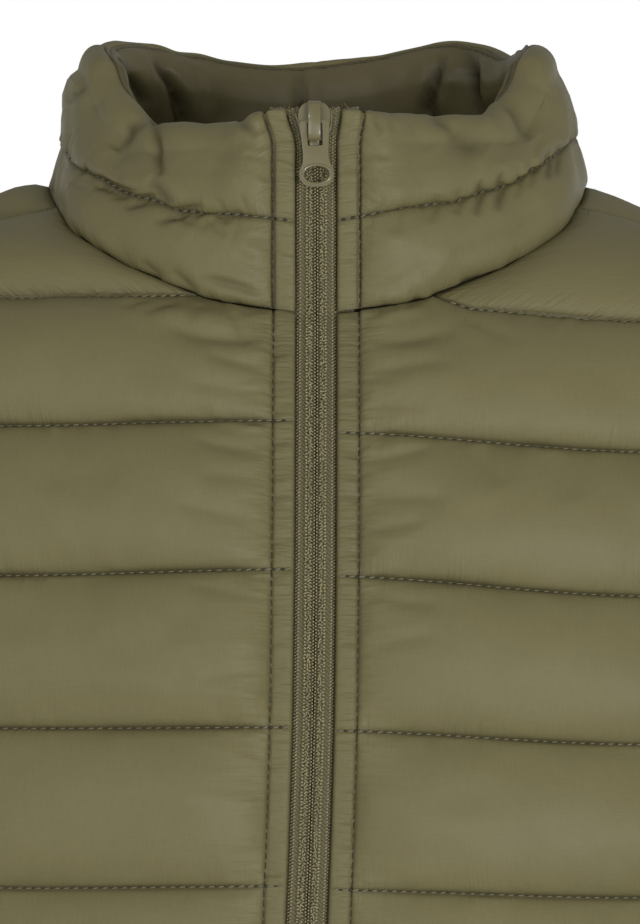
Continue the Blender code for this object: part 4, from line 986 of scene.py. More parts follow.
def back_base(k, t):
    """Half of the back, from the right armhole or side seam to the centre: angle and height grids."""
    t = np.asarray(t, float)
    T = t[:, None]
    q = WING_Q[None, :]
    if k == -1:
        f = WING_Q
        n0, a0 = neck(NECK_SHOULDER), armhole(SHOULDER_THETA, 1)
        zs = lerp(float(n0[2]), float(a0[2]), f)
        ys = lerp(float(n0[1]), lerp(SHOULDER_Y, float(a0[1]), step(f, 0.75, 1.0)), step(f, 0.0, 0.2))
        pb, zb = ridge_line()
        phi, z = lerp(phi_of_y(ys, zs)[None, :], pb[None, :], T), lerp(zs[None, :], zb[None, :], T)
        th = lerp(SHOULDER_THETA, -SHOULDER_THETA * 0.9, t)
        e = armhole(th, 1)
        nk = neck(lerp(NECK_SHOULDER, NECK_BACK_LINE, t))
        pe, pn = phi_of_y(e[:, 1], e[:, 2]), phi_of_x(nk[:, 0], nk[:, 2])
        pn = np.where(nk[:, 1] > 0, 180 - pn, pn)
        phi_e, z_e, phi_n, z_n = phi[:, :1].copy(), z[:, :1].copy(), phi[:, -1:].copy(), z[:, -1:].copy()
        phi = phi + (pe[:, None] - phi_e) * q ** 6 + (pn[:, None] - phi_n) * (1 - q) ** 6
        z = z + (e[:, 2:3] - z_e) * q ** 6 + (nk[:, 2:3] - z_n) * (1 - q) ** 6
        return phi, z
    f = wing_fraction(q)
    g = CENTRE_G[None, :]
    if k == 0:
        pb, zb = ridge_line()
        pe = armhole(-theta_of_z(side_z(1)), 1)
        phi_l = lerp(BACK_INNER, float(phi_of_y(pe[1], pe[2])), f)
        phi = lerp(pb[None, :], phi_l, T)
        z = lerp(zb[None, :], back_line_z(1, phi_l), T)
        th = lerp(-SHOULDER_THETA * 0.9, -theta_of_z(side_z(1)), t)
        e = armhole(th, 1)
        e_phi = phi_of_y(e[:, 1], e[:, 2])
        phi_0, z_0 = phi[:, :1].copy(), z[:, :1].copy()
        phi = phi + (e_phi[:, None] - phi_0) * q ** 6
        z = z + (e[:, 2:3] - z_0) * q ** 6
        psi = lerp(180.0, NECK_BACK_LINE, CENTRE_G)
        pn = neck(psi)
        phi_n = 180 - phi_of_x(pn[:, 0], pn[:, 2])
        phi_c = lerp(180.0, BACK_INNER, g)
        phi2 = lerp(phi_n[None, :], phi_c, T)
        z2 = lerp(pn[:, 2][None, :], back_line_z(1, phi_c), T)
        return np.concatenate([phi, phi2], 1), np.concatenate([z, z2], 1)
    if k < 5:
        e = armhole(-armhole_theta(k, t), 1)
        phi_e, z_e = phi_of_y(e[:, 1], e[:, 2]), e[:, 2]
    else:
        phi_e, z_e = np.full(len(t), 90.0), lerp(side_z(k), side_z(k + 1), t)
    phi = lerp(BACK_INNER, phi_e[:, None], f)
    z = lerp(back_line_z(k, phi), back_line_z(k + 1, phi), T)
    z = z + (z_e[:, None] - z[:, :1]) * q ** 6
    phi_c = lerp(180.0, BACK_INNER, g)
    z2 = lerp(back_line_z(k, phi_c), back_line_z(k + 1, phi_c), T)
    return np.concatenate([phi, phi_c + 0 * T], 1), np.concatenate([z, z2], 1)


def mirrored(phi, z):
    """The whole back from its right half."""
    return np.concatenate([-phi, phi[:, -2::-1]], 1), np.concatenate([z, z[:, -2::-1]], 1)


def back_height(p, k, t, seed):
    T = np.asarray(t, float)[:, None]
    s = arc(p, 1)
    total = s[:, -1:]
    d_edge = np.minimum(s, total - s)
    z = p[..., 2]
    length = np.linalg.norm(p[-1] - p[0], axis=-1)[None, :]
    d_line = np.minimum(T, 1 - T) * length
    near_arm = np.where(z < UNDERARM_Z + 0.035, 0.8 * lerp(0.2, 1.0, step(UNDERARM_Z - z, 0.0, 0.10)), 0.75)
    gain = lerp(near_arm, 1.0, step(d_edge, 0.020, 0.055)) * (1 - np.exp(-d_edge / 0.008))
    if k <= 0:
        gain = gain * (0.7 if k == -1 else 1.0)
    h = PUFF * puff(T, 1.14) * gain * (1 + 0.08 * noise2(s / 0.05 + 3.1 * k, T + k, seed))
    inner = np.clip(h / (0.35 * PUFF), 0, 1)
    h = h + inner * (0.0008 * noise2(s / 0.024, z / 0.020, seed + 1) + 0.0004 * noise2(s / 0.010, z / 0.009, seed + 2))
    gather = np.where(T < 0.5, noise1(s / 0.0046 + 0.2 * d_line / MM, seed + 20 + k), noise1(s / 0.0052, seed + 60 + k))
    h = h + 0.00045 * gather * np.clip(d_line / 0.0015, 0, 1) * np.exp(-d_line / 0.006)
    side_gather = noise1(z / 0.0042 + 0.1 * d_edge / MM, seed + 90)
    h = h + 0.0005 * side_gather * np.exp(-d_edge / 0.010) * np.clip(d_edge / 0.002, 0, 1) * np.clip(d_line / 0.003, 0, 1)
    return h, d_line


def close_panel(sh, outer, P, N, uv, rows, cols, mat=1):
    """A coarse inner skin WALL behind the outer one."""
    inner = sh.add(P[np.ix_(rows, cols)] - N[np.ix_(rows, cols)] * WALL, uv[np.ix_(rows, cols)])
    sh.quads(inner, mat, True)
    return inner


def build_back():
    sh = Shell()
    P, Hh, D, at = [], [], [], {}
    for k in range(0, N_LINES):
        t = rows_in(18 if k < 6 else 9)
        phi, z = mirrored(*back_base(k, t))
        p = ring(phi, z)
        if k == 0:
            nb = len(CENTRE_G)
            mid = slice(len(WING_Q), p.shape[1] - len(WING_Q))
            p[0, :, 2] -= np.where((np.arange(p.shape[1]) >= len(WING_Q) - 1) & (np.arange(p.shape[1]) <= p.shape[1] - len(WING_Q)), SEAM_GAP, 0)
        h, d = back_height(p, k, t, 900)
        if k == 0:
            cols = np.arange(p.shape[1])
        if k > 0:
            p, h, d = p[1:], h[1:], d[1:]
        at[k] = sum(len(q) for q in P) - (0 if k == 0 else 1)
        P.append(p), Hh.append(h), D.append(d)
    at[N_LINES] = sum(len(q) for q in P) - 1
    P, Hh, D = (np.concatenate(q) for q in (P, Hh, D))
    low = P[:, 0, 2] < UNDERARM_Z - 1e-6
    for col, sg in ((0, -1), (-1, 1)):
        P[low, col, 1] = SEAM_GAP
        P[:, col, 0] -= sg * SEAM_GAP
    ref = np.stack([P[..., 0], P[..., 1], 0 * P[..., 2]], -1)
    N = grid_normals(P, ref)
    Q = P + N * Hh[..., None]
    S = arc(P, 1)
    uv = np.stack([S, -P[..., 2]], -1)
    # painted shade in the stitched valleys of the back
    outer = sh.add(Q, uv, 0.5 * np.exp(-D / 0.0009), (np.exp(-D / 0.004), 0.0))
    sh.quads(outer)
    n = P.shape[1]
    rows = np.unique(np.concatenate([pick(at[6] + 1, 26), [at[k] for k in range(6, N_LINES + 1)]]))
    wing = len(WING_Q)
    cols = np.unique(np.concatenate([pick(wing, 12), wing - 1 + pick(n - 2 * wing + 2, 14), n - wing + pick(wing, 12)]))
    inner = close_panel(sh, outer, P, N, uv, rows, cols)
    # the strips over the shoulder ridge
    t = rows_in(20)
    phi, z = back_base(-1, t)
    for sg in (-1, 1):
        p = ring(sg * phi, z)
        if sg > 0:
            p = p[:, ::-1]
        edge = 0 if sg < 0 else -1
        neck_col = -1 if sg < 0 else 0
        p[:, edge, 0] -= sg * SEAM_GAP
        p[0, :, 1] += SEAM_GAP
        p[:, neck_col, 2] -= SEAM_GAP
        span = slice(0, wing) if sg < 0 else slice(n - wing, n)
        p[-1] = P[0, span]
        h, d = back_height(p, -1, t, 950 + sg)
        h = h + (0.0030 if sg < 0 else -0.0006) * np.sin(np.pi * t)[:, None] ** 0.7 * np.clip(h / (0.3 * PUFF), 0, 1)
        ref = np.stack([0.3 * p[..., 0], p[..., 1] * 0, 0.2 + 0 * p[..., 2]], -1)
        nn = grid_normals(p, ref)
        q = p + nn * h[..., None]
        s2 = arc(p, 1)
        uv2 = np.stack([s2, -arc(p, 0)], -1)
        # painted shade in the stitched valleys of the ridge strips
        up = sh.add(q[:-1], uv2[:-1], (0.5 * np.exp(-d / 0.0009))[:-1])
        up = np.concatenate([up, outer[:1, span]], 0)
        sh.quads(up)
        csel = cols[(cols >= span.start) & (cols < span.stop)]
        loc = csel - span.start
        rr = pick(len(p), 6)
        ip = p[np.ix_(rr, loc)] - nn[np.ix_(rr, loc)] * WALL
        ui = sh.add(ip[:-1], uv2[np.ix_(rr, loc)][:-1])
        where = np.searchsorted(cols, csel)
        ui = np.concatenate([ui, inner[:1, where]], 0)
        sh.quads(ui, 1, True)
        sh.zipper(up[:, 0], ui[:, 0])
        sh.zipper(up[:, -1], ui[:, -1])
        sh.zipper(up[0], ui[0])
        stitch_line("back", p[-1], nn[-1], False, lift=0.0003, seed=51 + sg, start=0.002, end=0.002)
    first, last = np.searchsorted(cols, wing - 1), np.searchsorted(cols, n - wing)
    sh.zipper(outer[0, wing - 1:n - wing + 1], inner[0, first:last + 1])
    sh.zipper(outer[-1], inner[-1])
    sh.zipper(outer[:, 0], inner[:, 0])
    sh.zipper(outer[:, -1], inner[:, -1])
    ob = sh.object("back_shell", [M_SHELL, M_LINING])
    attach(ob, "coat")
    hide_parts("back")
    for k in range(1, N_LINES):
        stitch_line("back", P[at[k]], N[at[k]], False, lift=0.0003, seed=50 + k, start=0.002, end=0.002)
    return ob


# ---------------------------------------------------------------- sleeves
SLEEVE_G = np.linspace(1, -1, 79)


def sleeve_frame(side):
    b = math.radians(SPLAY)
    return (armhole(0.0, side), np.array([side * math.sin(b), 0, -math.cos(b)]), np.array([side * math.cos(b), 0, math.sin(b)]))


def sleeve_point(side, s, alpha, radius=1.0):
    tip, down, out = sleeve_frame(side)
    s, alpha, radius = np.broadcast_arrays(np.asarray(s, float), np.asarray(alpha, float), np.asarray(radius, float))
    reach, rx, ry, fwd = (read(SLEEVE, s, c) for c in (1, 2, 3, 4))
    a = np.radians(alpha)
    o = reach - rx + rx * radius * np.cos(a)
    y = -ry * radius * np.sin(a) - fwd
    return tip + s[..., None] * down + o[..., None] * out + np.stack([0 * y, y, 0 * y], -1)


def sleeve_start(theta, side=1):
    tip, down, out = sleeve_frame(side)
    p = armhole(theta, side) - tip
    s = p @ down
    reach, rx, ry = (read(SLEEVE, s, c) for c in (1, 2, 3))
    u, v = (p @ out - (reach - rx)) / rx, -p[..., 1] / ry
    return s, np.degrees(np.arctan2(v, u)), np.hypot(u, v)


def build_sleeve(name, side):
    s_under = float(sleeve_start(np.array(180.0))[0])
    count = round((SLEEVE_LEN - s_under) / SLEEVE_CHANNEL)
    levels = [s_under + (SLEEVE_LEN - s_under) * i / count for i in range(count + 1)]
    g = SLEEVE_G[None, :]
    P, Hh, D, at, lines = [], [], [], {}, []
    tip, down, out = sleeve_frame(side)
    for i in range(5):
        t = rows_in(18)
        th = armhole_theta(i, t)
        s, alpha0, r0 = sleeve_start(th)
        p = sleeve_point(side, s[:, None], alpha0[:, None] * g, 1 + (r0[:, None] - 1) * np.abs(g) ** 4)
        if i == 0:
            arc0 = armhole(th[:, None] * g, side)
            p = lerp(arc0, p, step(t, 0.0, 0.5)[:, None, None])
        p[:, 0], p[:, -1] = armhole(th, side), armhole(-th, side)
        p[:, [0, -1], 0] += side * SEAM_GAP
        if i == 0:
            p[0, :, 0] += side * SEAM_GAP
        T = t[:, None]
        ss = arc(p, 1)
        d_edge = np.minimum(ss, ss[:, -1:] - ss)
        length = np.linalg.norm(p[-1] - p[0], axis=-1)[None, :]
        d_line = np.minimum(T, 1 - T) * length
        gain = (1 - np.exp(-d_edge / 0.007)) * (0.62 if i == 0 else 1.0)
        h = PUFF * puff(T, 1.1) * gain * (1 + 0.08 * noise2(ss / 0.05 + 3 * i, T + i, 1300 + side))
        P.append(p[(1 if i else 0):]), Hh.append(h[(1 if i else 0):]), D.append(d_line[(1 if i else 0):])
        at[i] = sum(len(q) for q in P[:-1]) - (1 if i else 0)
    n_cap = sum(len(q) for q in P)
    for i in range(len(levels) - 1):
        t = rows_in(12)
        s = lerp(levels[i], levels[i + 1], t)
        p = sleeve_point(side, s[:, None], 180.0 * g)
        if i == 0:
            u = armhole(180.0, side) + np.array([side * SEAM_GAP, 0, 0])
            w = (1 - step(t, 0.0, 0.25))[:, None, None] * (np.abs(g)[..., None] ** 12)
            p = lerp(p, u, w)
        T = t[:, None]
        ss = arc(p, 1)
        length = np.linalg.norm(p[-1] - p[0], axis=-1)[None, :]
        d_line = np.minimum(T, 1 - T) * length
        near = step(s[:, None] - levels[0], 0.0, 0.11)
        gain = lerp(1.0, lerp(0.22, 1.0, near), step(np.abs(g), 0.42, 0.62))
        h = PUFF * 0.85 * puff(T, 1.1) * gain * (1 + 0.08 * noise2((ss % ss[:, -1:]) / 0.05 + 3 * i, T + i, 1320 + side))
        P.append(p[1:]), Hh.append(h[1:]), D.append(d_line[1:])
        at[5 + i] = sum(len(q) for q in P[:-1]) - 1
    P, Hh, D = (np.concatenate(q) for q in (P, Hh, D))
    last = len(P) - 1
    mid = P.mean(axis=1, keepdims=True)
    ref = P - mid
    ref[: n_cap] += 0.02 * out
    N = grid_normals(P, ref)
    N[n_cap:, 0] = N[n_cap:, -1] = unit(N[n_cap:, 0] + N[n_cap:, -1])
    S = arc(P, 1)
    V = arc(P, 0)
    inner_gain = np.clip(Hh / (0.35 * PUFF), 0, 1)
    wrap = np.minimum(S, S[:, -1:] - S)
    Hh = Hh + inner_gain * (0.0009 * noise2(wrap / 0.026, V / 0.020, 1340 + side) + 0.0004 * noise2(wrap / 0.011, V / 0.009, 1350 + side))
    Hh = Hh + 0.0005 * noise1(wrap / 0.0045 + 3.7 * np.floor(V / 0.0475), 1360 + side) * np.clip(D / 0.0015, 0, 1) * np.exp(-D / 0.006)
    Q = P + N * Hh[..., None]
    sh = Shell()
    uv = np.stack([S, V], -1)
    # painted shade in the stitched valleys of the sleeve
    outer = sh.add(Q, uv, 0.5 * np.exp(-D / 0.0009), (np.exp(-D / 0.004), 0.0))
    outer[n_cap:, -1] = outer[n_cap:, 0]
    sh.quads(outer)
    rows = np.unique(np.concatenate([[0], pick(n_cap, 16), n_cap - 1 + pick(last - n_cap + 2, 24)]))
    cols = pick(len(SLEEVE_G), 27)
    ip = P[np.ix_(rows, cols)] - N[np.ix_(rows, cols)] * WALL
    inner = sh.add(ip, uv[np.ix_(rows, cols)])
    tube = rows >= n_cap
    inner[tube, -1] = inner[tube, 0]
    sh.quads(inner, 1, True)
    k = int(np.argmax(tube))
    sh.zipper(outer[0], inner[0])
    sh.zipper(outer[-1], inner[-1])
    sh.zipper(outer[: n_cap + 1, 0], inner[: k + 1, 0])
    sh.zipper(outer[: n_cap + 1, -1], inner[: k + 1, -1])
    ob = sh.object(name + "_shell", [M_SHELL, M_LINING])
    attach(ob, "coat")
    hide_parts(name)
    for i, r in at.items():
        if i:
            stitch_line(name, P[r], N[r], False, lift=0.0003, seed=70 + i, start=0.002, end=0.002)
    return ob


# ---------------------------------------------------------------- collar and facing
UP = np.array([0.0, 0.0, 1.0])
COLLAR_HALF = np.unique(np.round(np.concatenate([
    psi_of_x(np.array(STRIP_X + STITCH_X + list(np.arange(TOPSTITCH + 2.9 * MM, 0.030, 0.72 * MM)))),
    np.arange(float(psi_of_x(0.0303)), 78, 0.40), np.linspace(78, 180, 74)]), 5))
COLLAR_PSI = np.concatenate([-COLLAR_HALF, COLLAR_HALF[-2::-1]])


def plan(sizes, psi, z):
    s, c = np.sin(np.radians(psi)), np.cos(np.radians(psi))
    return np.stack([sizes[0] * s, -np.where(c > 0, sizes[1], sizes[2]) * c, z + 0 * s], -1)


# the rim sags and rises a little from place to place: angle, mm
RIM_WAVE = (
    (-180, -175, -170, -165, -160, -155, -148, -140, -134, -122, -115, -90, -70, 8, 14, 20, 26, 35, 45, 53, 60, 70, 90, 97, 105, 115, 124, 132, 138, 145, 150, 155, 165, 172, 180),
    (-1.9, -2.5, -3.3, -3.1, -2.9, -3.0, -3.3, -2.4, -1.8, -0.6, 0.3, 0.0, 0.0, 0.0, 0.5, 1.4, 2.4, 2.9, 2.7, 1.0, 0.0, 0.0, 0.0, 0.8, -1.0, -3.6, -2.0, -0.6, 1.1, 0.9, 0.5, 0.0, -0.5, -1.2, -1.9),
)
# and so does the seam between the two rows
MID_WAVE = (
    (-180, -105, -90, -78, -66, -57, -50, -43, -38, -26, -17, -10, -5, 0, 5, 11, 19, 27, 36, 45, 51, 57, 64, 72, 81, 92, 180),
    (0.0, 0.0, -1.4, -2.5, -2.4, -0.2, 0.5, -0.2, -0.75, -1.0, -1.3, -1.5, -1.5, -1.4, -1.3, -0.6, 0.5, 1.8, 1.4, 2.4, 3.2, 2.2, 1.8, 1.9, 0.4, 0.0, 0.0),
)


def wave(table, psi):
    return MM * sum(np.interp(psi + o, table[0], table[1]) for o in (-3.0, -1.5, 0.0, 1.5, 3.0)) / 5


def collar_base(psi):
    s = neck(psi) + UP * SEAM_GAP
    x = np.abs(s[..., 0])
    front = (np.abs(psi) < 60)
    flat = (1 - step(x, 0.012, 0.034)) * front
    rim_z = read(RIM, np.abs(psi)) + 0.0006 * noise1(np.where(front, s[..., 0], psi * 0.0012) / 0.011, 830) * step(x, 0.014, 0.03)
    rim_z = rim_z + wave(RIM_WAVE, psi)
    mid, rim = plan(MID_PLAN, psi, read(MID, np.abs(psi)) + wave(MID_WAVE, psi)), plan(RIM_PLAN, psi, rim_z)
    mid[..., 0] += 0.0011 * (psi < 0) * step(np.abs(psi), 58, 80) * (1 - step(np.abs(psi), 105, 130))
    for q in (mid, rim):
        q[..., 0] = lerp(q[..., 0], s[..., 0], flat)
        q[..., 1] = lerp(q[..., 1], -zip_profile(q[..., 2]), flat)
    return s, mid, rim, neck_inward(s), x, front


# creases of the collar: from, to in mm on the front, width, height, bend
CREASES_COLLAR = (
    (-57.0, 24.0, -64.5, 13.0, 2.4, -1.7, 1.2), (-55.6, 21.5, -61.4, 11.5, 1.9, 0.6, 0.8), (-54.0, 20.0, -59.5, 23.0, 1.6, -0.7, 0.0),
    (-51.0, 23.5, -48.8, 3.5, 1.7, -2.1, -0.6), (-55.0, 21.0, -53.0, 6.0, 2.6, 0.5, -0.6), (-49.0, 5.0, -42.0, -5.5, 2.4, 0.8, 0.0),
    (-53.0, 3.5, -45.5, -6.5, 2.4, -0.9, 0.0), (-62.0, 10.0, -57.0, -1.0, 3.0, 0.5, 0.0), (-67.0, 12.0, -62.0, 2.0, 2.5, -0.5, 0.0),
    (-24.0, 21.0, -17.6, 15.8, 1.7, -1.3, 0.3), (-25.0, 16.0, -16.0, 11.0, 2.0, -0.6, 0.0), (-23.0, 10.0, -15.0, 8.5, 1.4, -0.5, 0.0),
    (-36.0, 23.0, -32.0, 12.0, 3.0, -0.45, 0.0), (-44.0, 22.0, -40.0, 8.0, 3.4, 0.45, 0.0), (-30.0, 12.0, -20.0, 2.0, 4.0, -0.4, 0.0),
    (-71.0, 3.2, -58.0, -2.0, 1.6, -1.0, 0.0), (-61.0, -6.0, -49.0, -2.4, 1.6, -1.1, 0.0), (-51.0, -11.0, -35.0, -5.8, 1.7, -1.25, 0.0),
    (-66.0, -3.0, -54.0, -0.2, 1.3, -0.5, 0.0), (-46.0, -8.0, -34.0, -13.0, 1.8, -0.7, 0.0), (-35.0, -8.5, -28.0, -16.0, 1.6, -0.7, 0.0),
    (-28.0, -12.0, -31.0, -3.5, 1.4, -0.6, 0.0), (-24.0, -10.5, -27.5, -19.0, 1.5, -0.5, 0.0), (-20.0, -10.5, -24.0, -2.5, 1.4, -0.5, 0.0),
    (-55.5, -23.0, -48.0, -29.0, 1.8, -0.8, 0.0), (-45.5, -26.0, -36.5, -33.5, 1.7, -0.8, 0.0), (-37.0, -28.5, -14.8, -35.0, 1.7, -1.2, 0.8),
    (-34.0, -32.0, -14.8, -37.5, 1.5, 0.7, 0.5), (-33.0, -24.0, -14.8, -31.5, 1.8, -0.6, 0.6), (-26.0, -21.0, -14.8, -27.0, 1.5, -0.55, 0.0),
    (-80.0, 29.0, -73.0, 35.0, 1.5, -0.9, 0.0), (-71.0, 26.0, -67.0, 31.0, 1.8, -0.5, 0.0), (-80.0, 4.0, -72.0, 1.0, 1.6, -0.6, 0.0),
    (59.0, 30.0, 67.8, 15.5, 3.0, -1.9, 1.0), (53.0, 28.0, 63.0, 20.5, 1.8, 0.9, 0.8), (41.0, 18.0, 53.0, 11.0, 5.2, -1.5, 0.0),
    (55.6, 25.0, 50.0, 7.0, 1.8, 1.2, -1.6), (66.5, 35.0, 77.5, 29.0, 1.9, -0.5, 0.6), (71.0, 18.0, 66.5, 5.5, 1.9, -0.8, 0.0),
    (63.0, 15.0, 58.0, 3.0, 2.4, 0.6, 0.0), (29.5, 23.0, 34.5, 11.0, 2.8, -0.6, 0.0), (35.0, 24.0, 45.0, 17.0, 2.2, -0.9, 0.0),
    (15.6, 23.5, 20.5, 16.0, 1.6, -1.0, 0.0), (21.5, 23.0, 25.5, 15.5, 1.7, -0.7, 0.0), (15.0, 12.5, 23.0, 8.5, 1.5, -0.5, 0.0),
    (52.2, 3.0, 49.8, -9.0, 1.5, -1.2, 0.0), (59.0, 6.5, 56.6, -7.5, 1.7, -1.4, 0.0), (74.2, 14.0, 72.6, 2.5, 1.5, -1.1, 0.0),
    (77.4, 16.0, 75.8, 4.0, 1.5, -0.9, 0.0), (45.8, 0.0, 43.6, -9.0, 1.5, -0.8, 0.0), (64.6, 8.0, 62.8, -3.0, 1.5, -0.8, 0.0),
    (38.2, -2.0, 35.4, -11.5, 1.7, -0.7, 0.0), (68.8, 10.0, 67.0, 0.0, 1.4, -0.7, 0.0), (30.0, 20.0, 50.0, -4.0, 7.0, 0.4, 0.0),
    (26.5, -5.5, 24.0, -15.0, 1.6, -0.5, 0.0), (14.8, -34.0, 39.0, -23.0, 2.2, -0.45, -0.6), (14.8, -29.0, 33.0, -18.0, 2.0, -0.22, 0.0),
    (14.8, -24.5, 28.0, -15.0, 2.0, 0.18, 0.0), (42.0, -21.0, 58.0, -11.0, 2.2, -0.5, 0.0), (58.0, -15.0, 72.0, -4.0, 2.2, -0.45, 0.0),
)


def facing_depth(psi, B):
    """How far below the top of the roll the smooth facing starts."""
    rear = step(np.abs(psi), 70, 105)
    return np.minimum(lerp(0.0090, lerp(0.0010, 0.0005, rear), step(np.abs(psi), 46, 66)), B * 0.96)


def build_collar():
    psi = COLLAR_PSI
    s, mid, rim, w, x, front = collar_base(psi)
    side = np.sign(psi)
    e = np.where(front, np.clip(1 - np.exp(-(np.maximum(x - TOPSTITCH, 0) / 0.0055) ** 0.95), 0, 1), 1.0)
    h = PUFF_COLLAR * e * lerp(1.5, 1.0, step(np.abs(psi), 50, 72))
    thick = lerp(WALL, lerp(0.0115, 0.0078, step(np.abs(psi), 48, 64)), e)
    B = lerp(0.0012, lerp(0.0095, 0.0080, step(np.abs(psi), 100, 125)), e)
    rows, tag, pos = [], [], []

    def row(p, puffed, where):
        rows.append(p), tag.append(puffed), pos.append(where)

    low_t, up_t = rows_in(38), np.linspace(0, 1, 45) ** 1.15
    flank = step(np.abs(psi), 58, 80) * (1 - step(np.abs(psi), 105, 130))
    h_low = h * lerp(1.0, np.where(side < 0, 0.0, 0.45), flank)
    for t in low_t:
        base = lerp(s, mid, t)
        a = puff(t, 0.94) * 0.95
        row(base - w * (h_low * a)[:, None], a, (0, t))
    top = rim - UP * B[:, None]
    for v in up_t[1:]:
        base = lerp(mid, top, v)
        a = (1 - (1 - min(v / 0.55, 1.0)) ** 2) ** 0.55 * lerp(1.0, 0.9, max(v - 0.55, 0) / 0.45)
        heights = (0.015, 0.019, 0.022, 0.027, 0.032, 0.037, 0.042)
        left, right = (-1.2, -2.0, -1.6, -0.4, 2.1, 3.1, 1.9), (-0.2, -0.8, -0.6, 0.2, 1.8, 2.2, 2.0)
        wide = MM * np.where(side < 0, np.interp(base[:, 2], heights, left), np.interp(base[:, 2], heights, right)) * flank
        row(base - w * (h * a + wide * (1 - math.exp(-v / 0.10)))[:, None], a, (1, v))
    bulge = np.where(side < 0, 0.0006, 0.0016) * flank
    A, C = (thick + 0.9 * h) / 2, rim + w * ((thick - 0.9 * h) / 2)[:, None] - UP * B[:, None]
    thetas = np.linspace(0, np.pi, 19)[1:]
    th_facing = np.pi - np.arcsin(np.clip(1 - facing_depth(psi, B) / B, 0, 1))
    for th in thetas:
        tuck = 0.0010 * np.clip((th - th_facing - 0.05) / 0.35, 0, 1) * e
        row(C - w * ((A - tuck) * math.cos(th) + bulge * max(math.cos(th), 0.0) ** 0.7)[:, None] + UP * ((B - tuck) * math.sin(th))[:, None], 1.0 if th < 2.2 else 0.4, (2, th))
    n_skin = len(rows)
    row(rim + w * (thick - 0.0030 * e)[:, None] - UP * (B + 0.0014)[:, None], 0, (3, 0))
    row(lerp(rim, mid, 0.6) + w * (lerp(thick, 0.0052, e)[:, None] * 0.9 - 0.0006 * e[:, None]), 0, (3, 0.3))
    row(mid + w * lerp(WALL, 0.0050, e)[:, None], 0, (3, 0.6))
    row(lerp(mid, s, 0.6) + w * 0.0030, 0, (3, 0.8))
    row(s + w * WALL, 0, (3, 1))
    P = np.stack(rows)
    skin = P[:n_skin]
    # directions square to the skin, pointing outwards
    ref = np.broadcast_to(-w[None], skin.shape).copy()
    inside = np.array([p[0] == 2 and p[1] > 1.2 for p in pos[:n_skin]])
    ref[inside] = UP + 0.2 * w
    late = np.array([p[0] == 2 and p[1] > 2.4 for p in pos[:n_skin]])
    ref[late] = w
    N = grid_normals(skin, ref)
    V = arc(skin, 0)
    S = np.sign(psi)[None, :] * 0 + arc(skin[len(low_t) - 1:len(low_t)], 1)
    n_low = len(low_t) - 1
    d_neck = V
    d_mid = np.abs(V - V[n_low:n_low + 1])
    d_line = np.minimum(d_neck, d_mid)
    body = e[None, :] * np.clip(d_line / 0.0035, 0, 1)
    sx, sz = skin[..., 0], skin[..., 2]
    d = np.zeros_like(sx)
    d += body * (0.0007 * noise2(sx / 0.021 + 3, sz / 0.016 + 0.4 * skin[..., 1] / 0.016, 801) + 0.00035 * noise2(S / 0.009, V / 0.008, 802))
    up_row = (V > V[n_low:n_low + 1])
    for seed, dist, amp in ((811, d_neck, 0.00040), (815, d_mid, 0.00055)):
        gather = np.where(up_row, noise1(S / 0.0030 + 0.12 * dist / MM, seed), noise1(S / 0.0033 - 0.15 * dist / MM, seed + 1))
        gather = np.where(gather < 0, 1.5 * gather, 0.7 * gather)
        patch = 0.5 + 0.7 * noise1(S / 0.019, seed + 2)
        d += e[None, :] * 2.0 * amp * gather * patch * np.clip(dist / 0.0012, 0, 1) * np.exp(-dist / 0.0050)
    xx = np.abs(sx)
    for sg in (-1, 1):
        on = (side[None, :] == sg) & front[None, :]
        ease = np.clip((xx - TOPSTITCH) / 0.0012, 0, 1) * np.clip(d_line / 0.003, 0, 1)
        d += np.where(on, ease * puckers(sg, 840 + sg, sz, np.where(on, xx, 0.1), TOPSTITCH, 0.022, -0.040), 0)
    facing_front = (np.abs(psi) < 86)[None, :] & (np.array([p[0] < 2 or p[1] < 2.2 for p in pos[:n_skin]])[:, None])
    crease_shade = np.zeros_like(d)
    for c in CREASES_COLLAR:
        f = np.where(facing_front & (np.sign(c[0]) == side)[None, :], body ** 0.35 * (1.35 if c[5] < 0 else 0.75) * fold(sx, sz, *c), 0)
        d += f
        # painted shade in the deeper crease valleys, stored with the stitch darkening
        if c[5] < -0.85:
            crease_shade = np.maximum(crease_shade, 0.42 * np.clip(-f / (-1.35 * c[5] * MM), 0, 1) ** 1.5)
    # the sides and back of the collar crease softly too
    wrap = step(np.abs(psi), 55, 80)[None, :] * body
    d += wrap * 0.0006 * noise1(S / 0.020 + V / 0.030, 851) * np.clip(V / 0.01, 0, 1)
    # the strips beside the zip
    strip = (x <= TOPSTITCH + 1e-9) & front
    across = np.clip((x - ZIP_EDGE) / (TOPSTITCH - ZIP_EDGE), 0, 1)[None, :]
    rib = noise1(sz / 0.0026 + across * 0.8 * side[None, :], 860) * 0.00040 + noise1(sz / 0.0070, 861) * 0.0004
    roll = 0.0010 * (1 - np.sqrt(np.maximum(1 - (1 - np.clip((x - ZIP_EDGE) / 0.0010, 0, 1)) ** 2, 0)))[None, :]
    hs = 0.0005 * (4 * across * (1 - across)) ** 0.6 + rib * np.clip((1 - across) / 0.1, 0, 1) - 0.0004 * np.exp(-(d_mid / 0.0007) ** 2) - roll
    outer_rows = np.array([p[0] < 2 or p[1] < 1.6 for p in pos[:n_skin]])[:, None]
    d += np.where(strip[None, :] & outer_rows, hs, 0)
    d += np.where(front[None, :] & outer_rows, -0.0008 * np.exp(-((xx - TOPSTITCH) / 0.0006) ** 2), 0)
    calm = np.stack([1 - np.clip((q[1] - th_facing) / 0.2, 0, 1) if q[0] == 2 else np.ones(len(psi)) for q in pos[:n_skin]])
    d = d * calm
    pinch = np.clip(V / 0.0006, 0, 1) * np.clip(d_mid / 0.0006, 0.15, 1)
    Q = skin + N * (d * np.where(strip[None, :], 1, pinch))[..., None]
    full = np.concatenate([Q, P[n_skin:]])
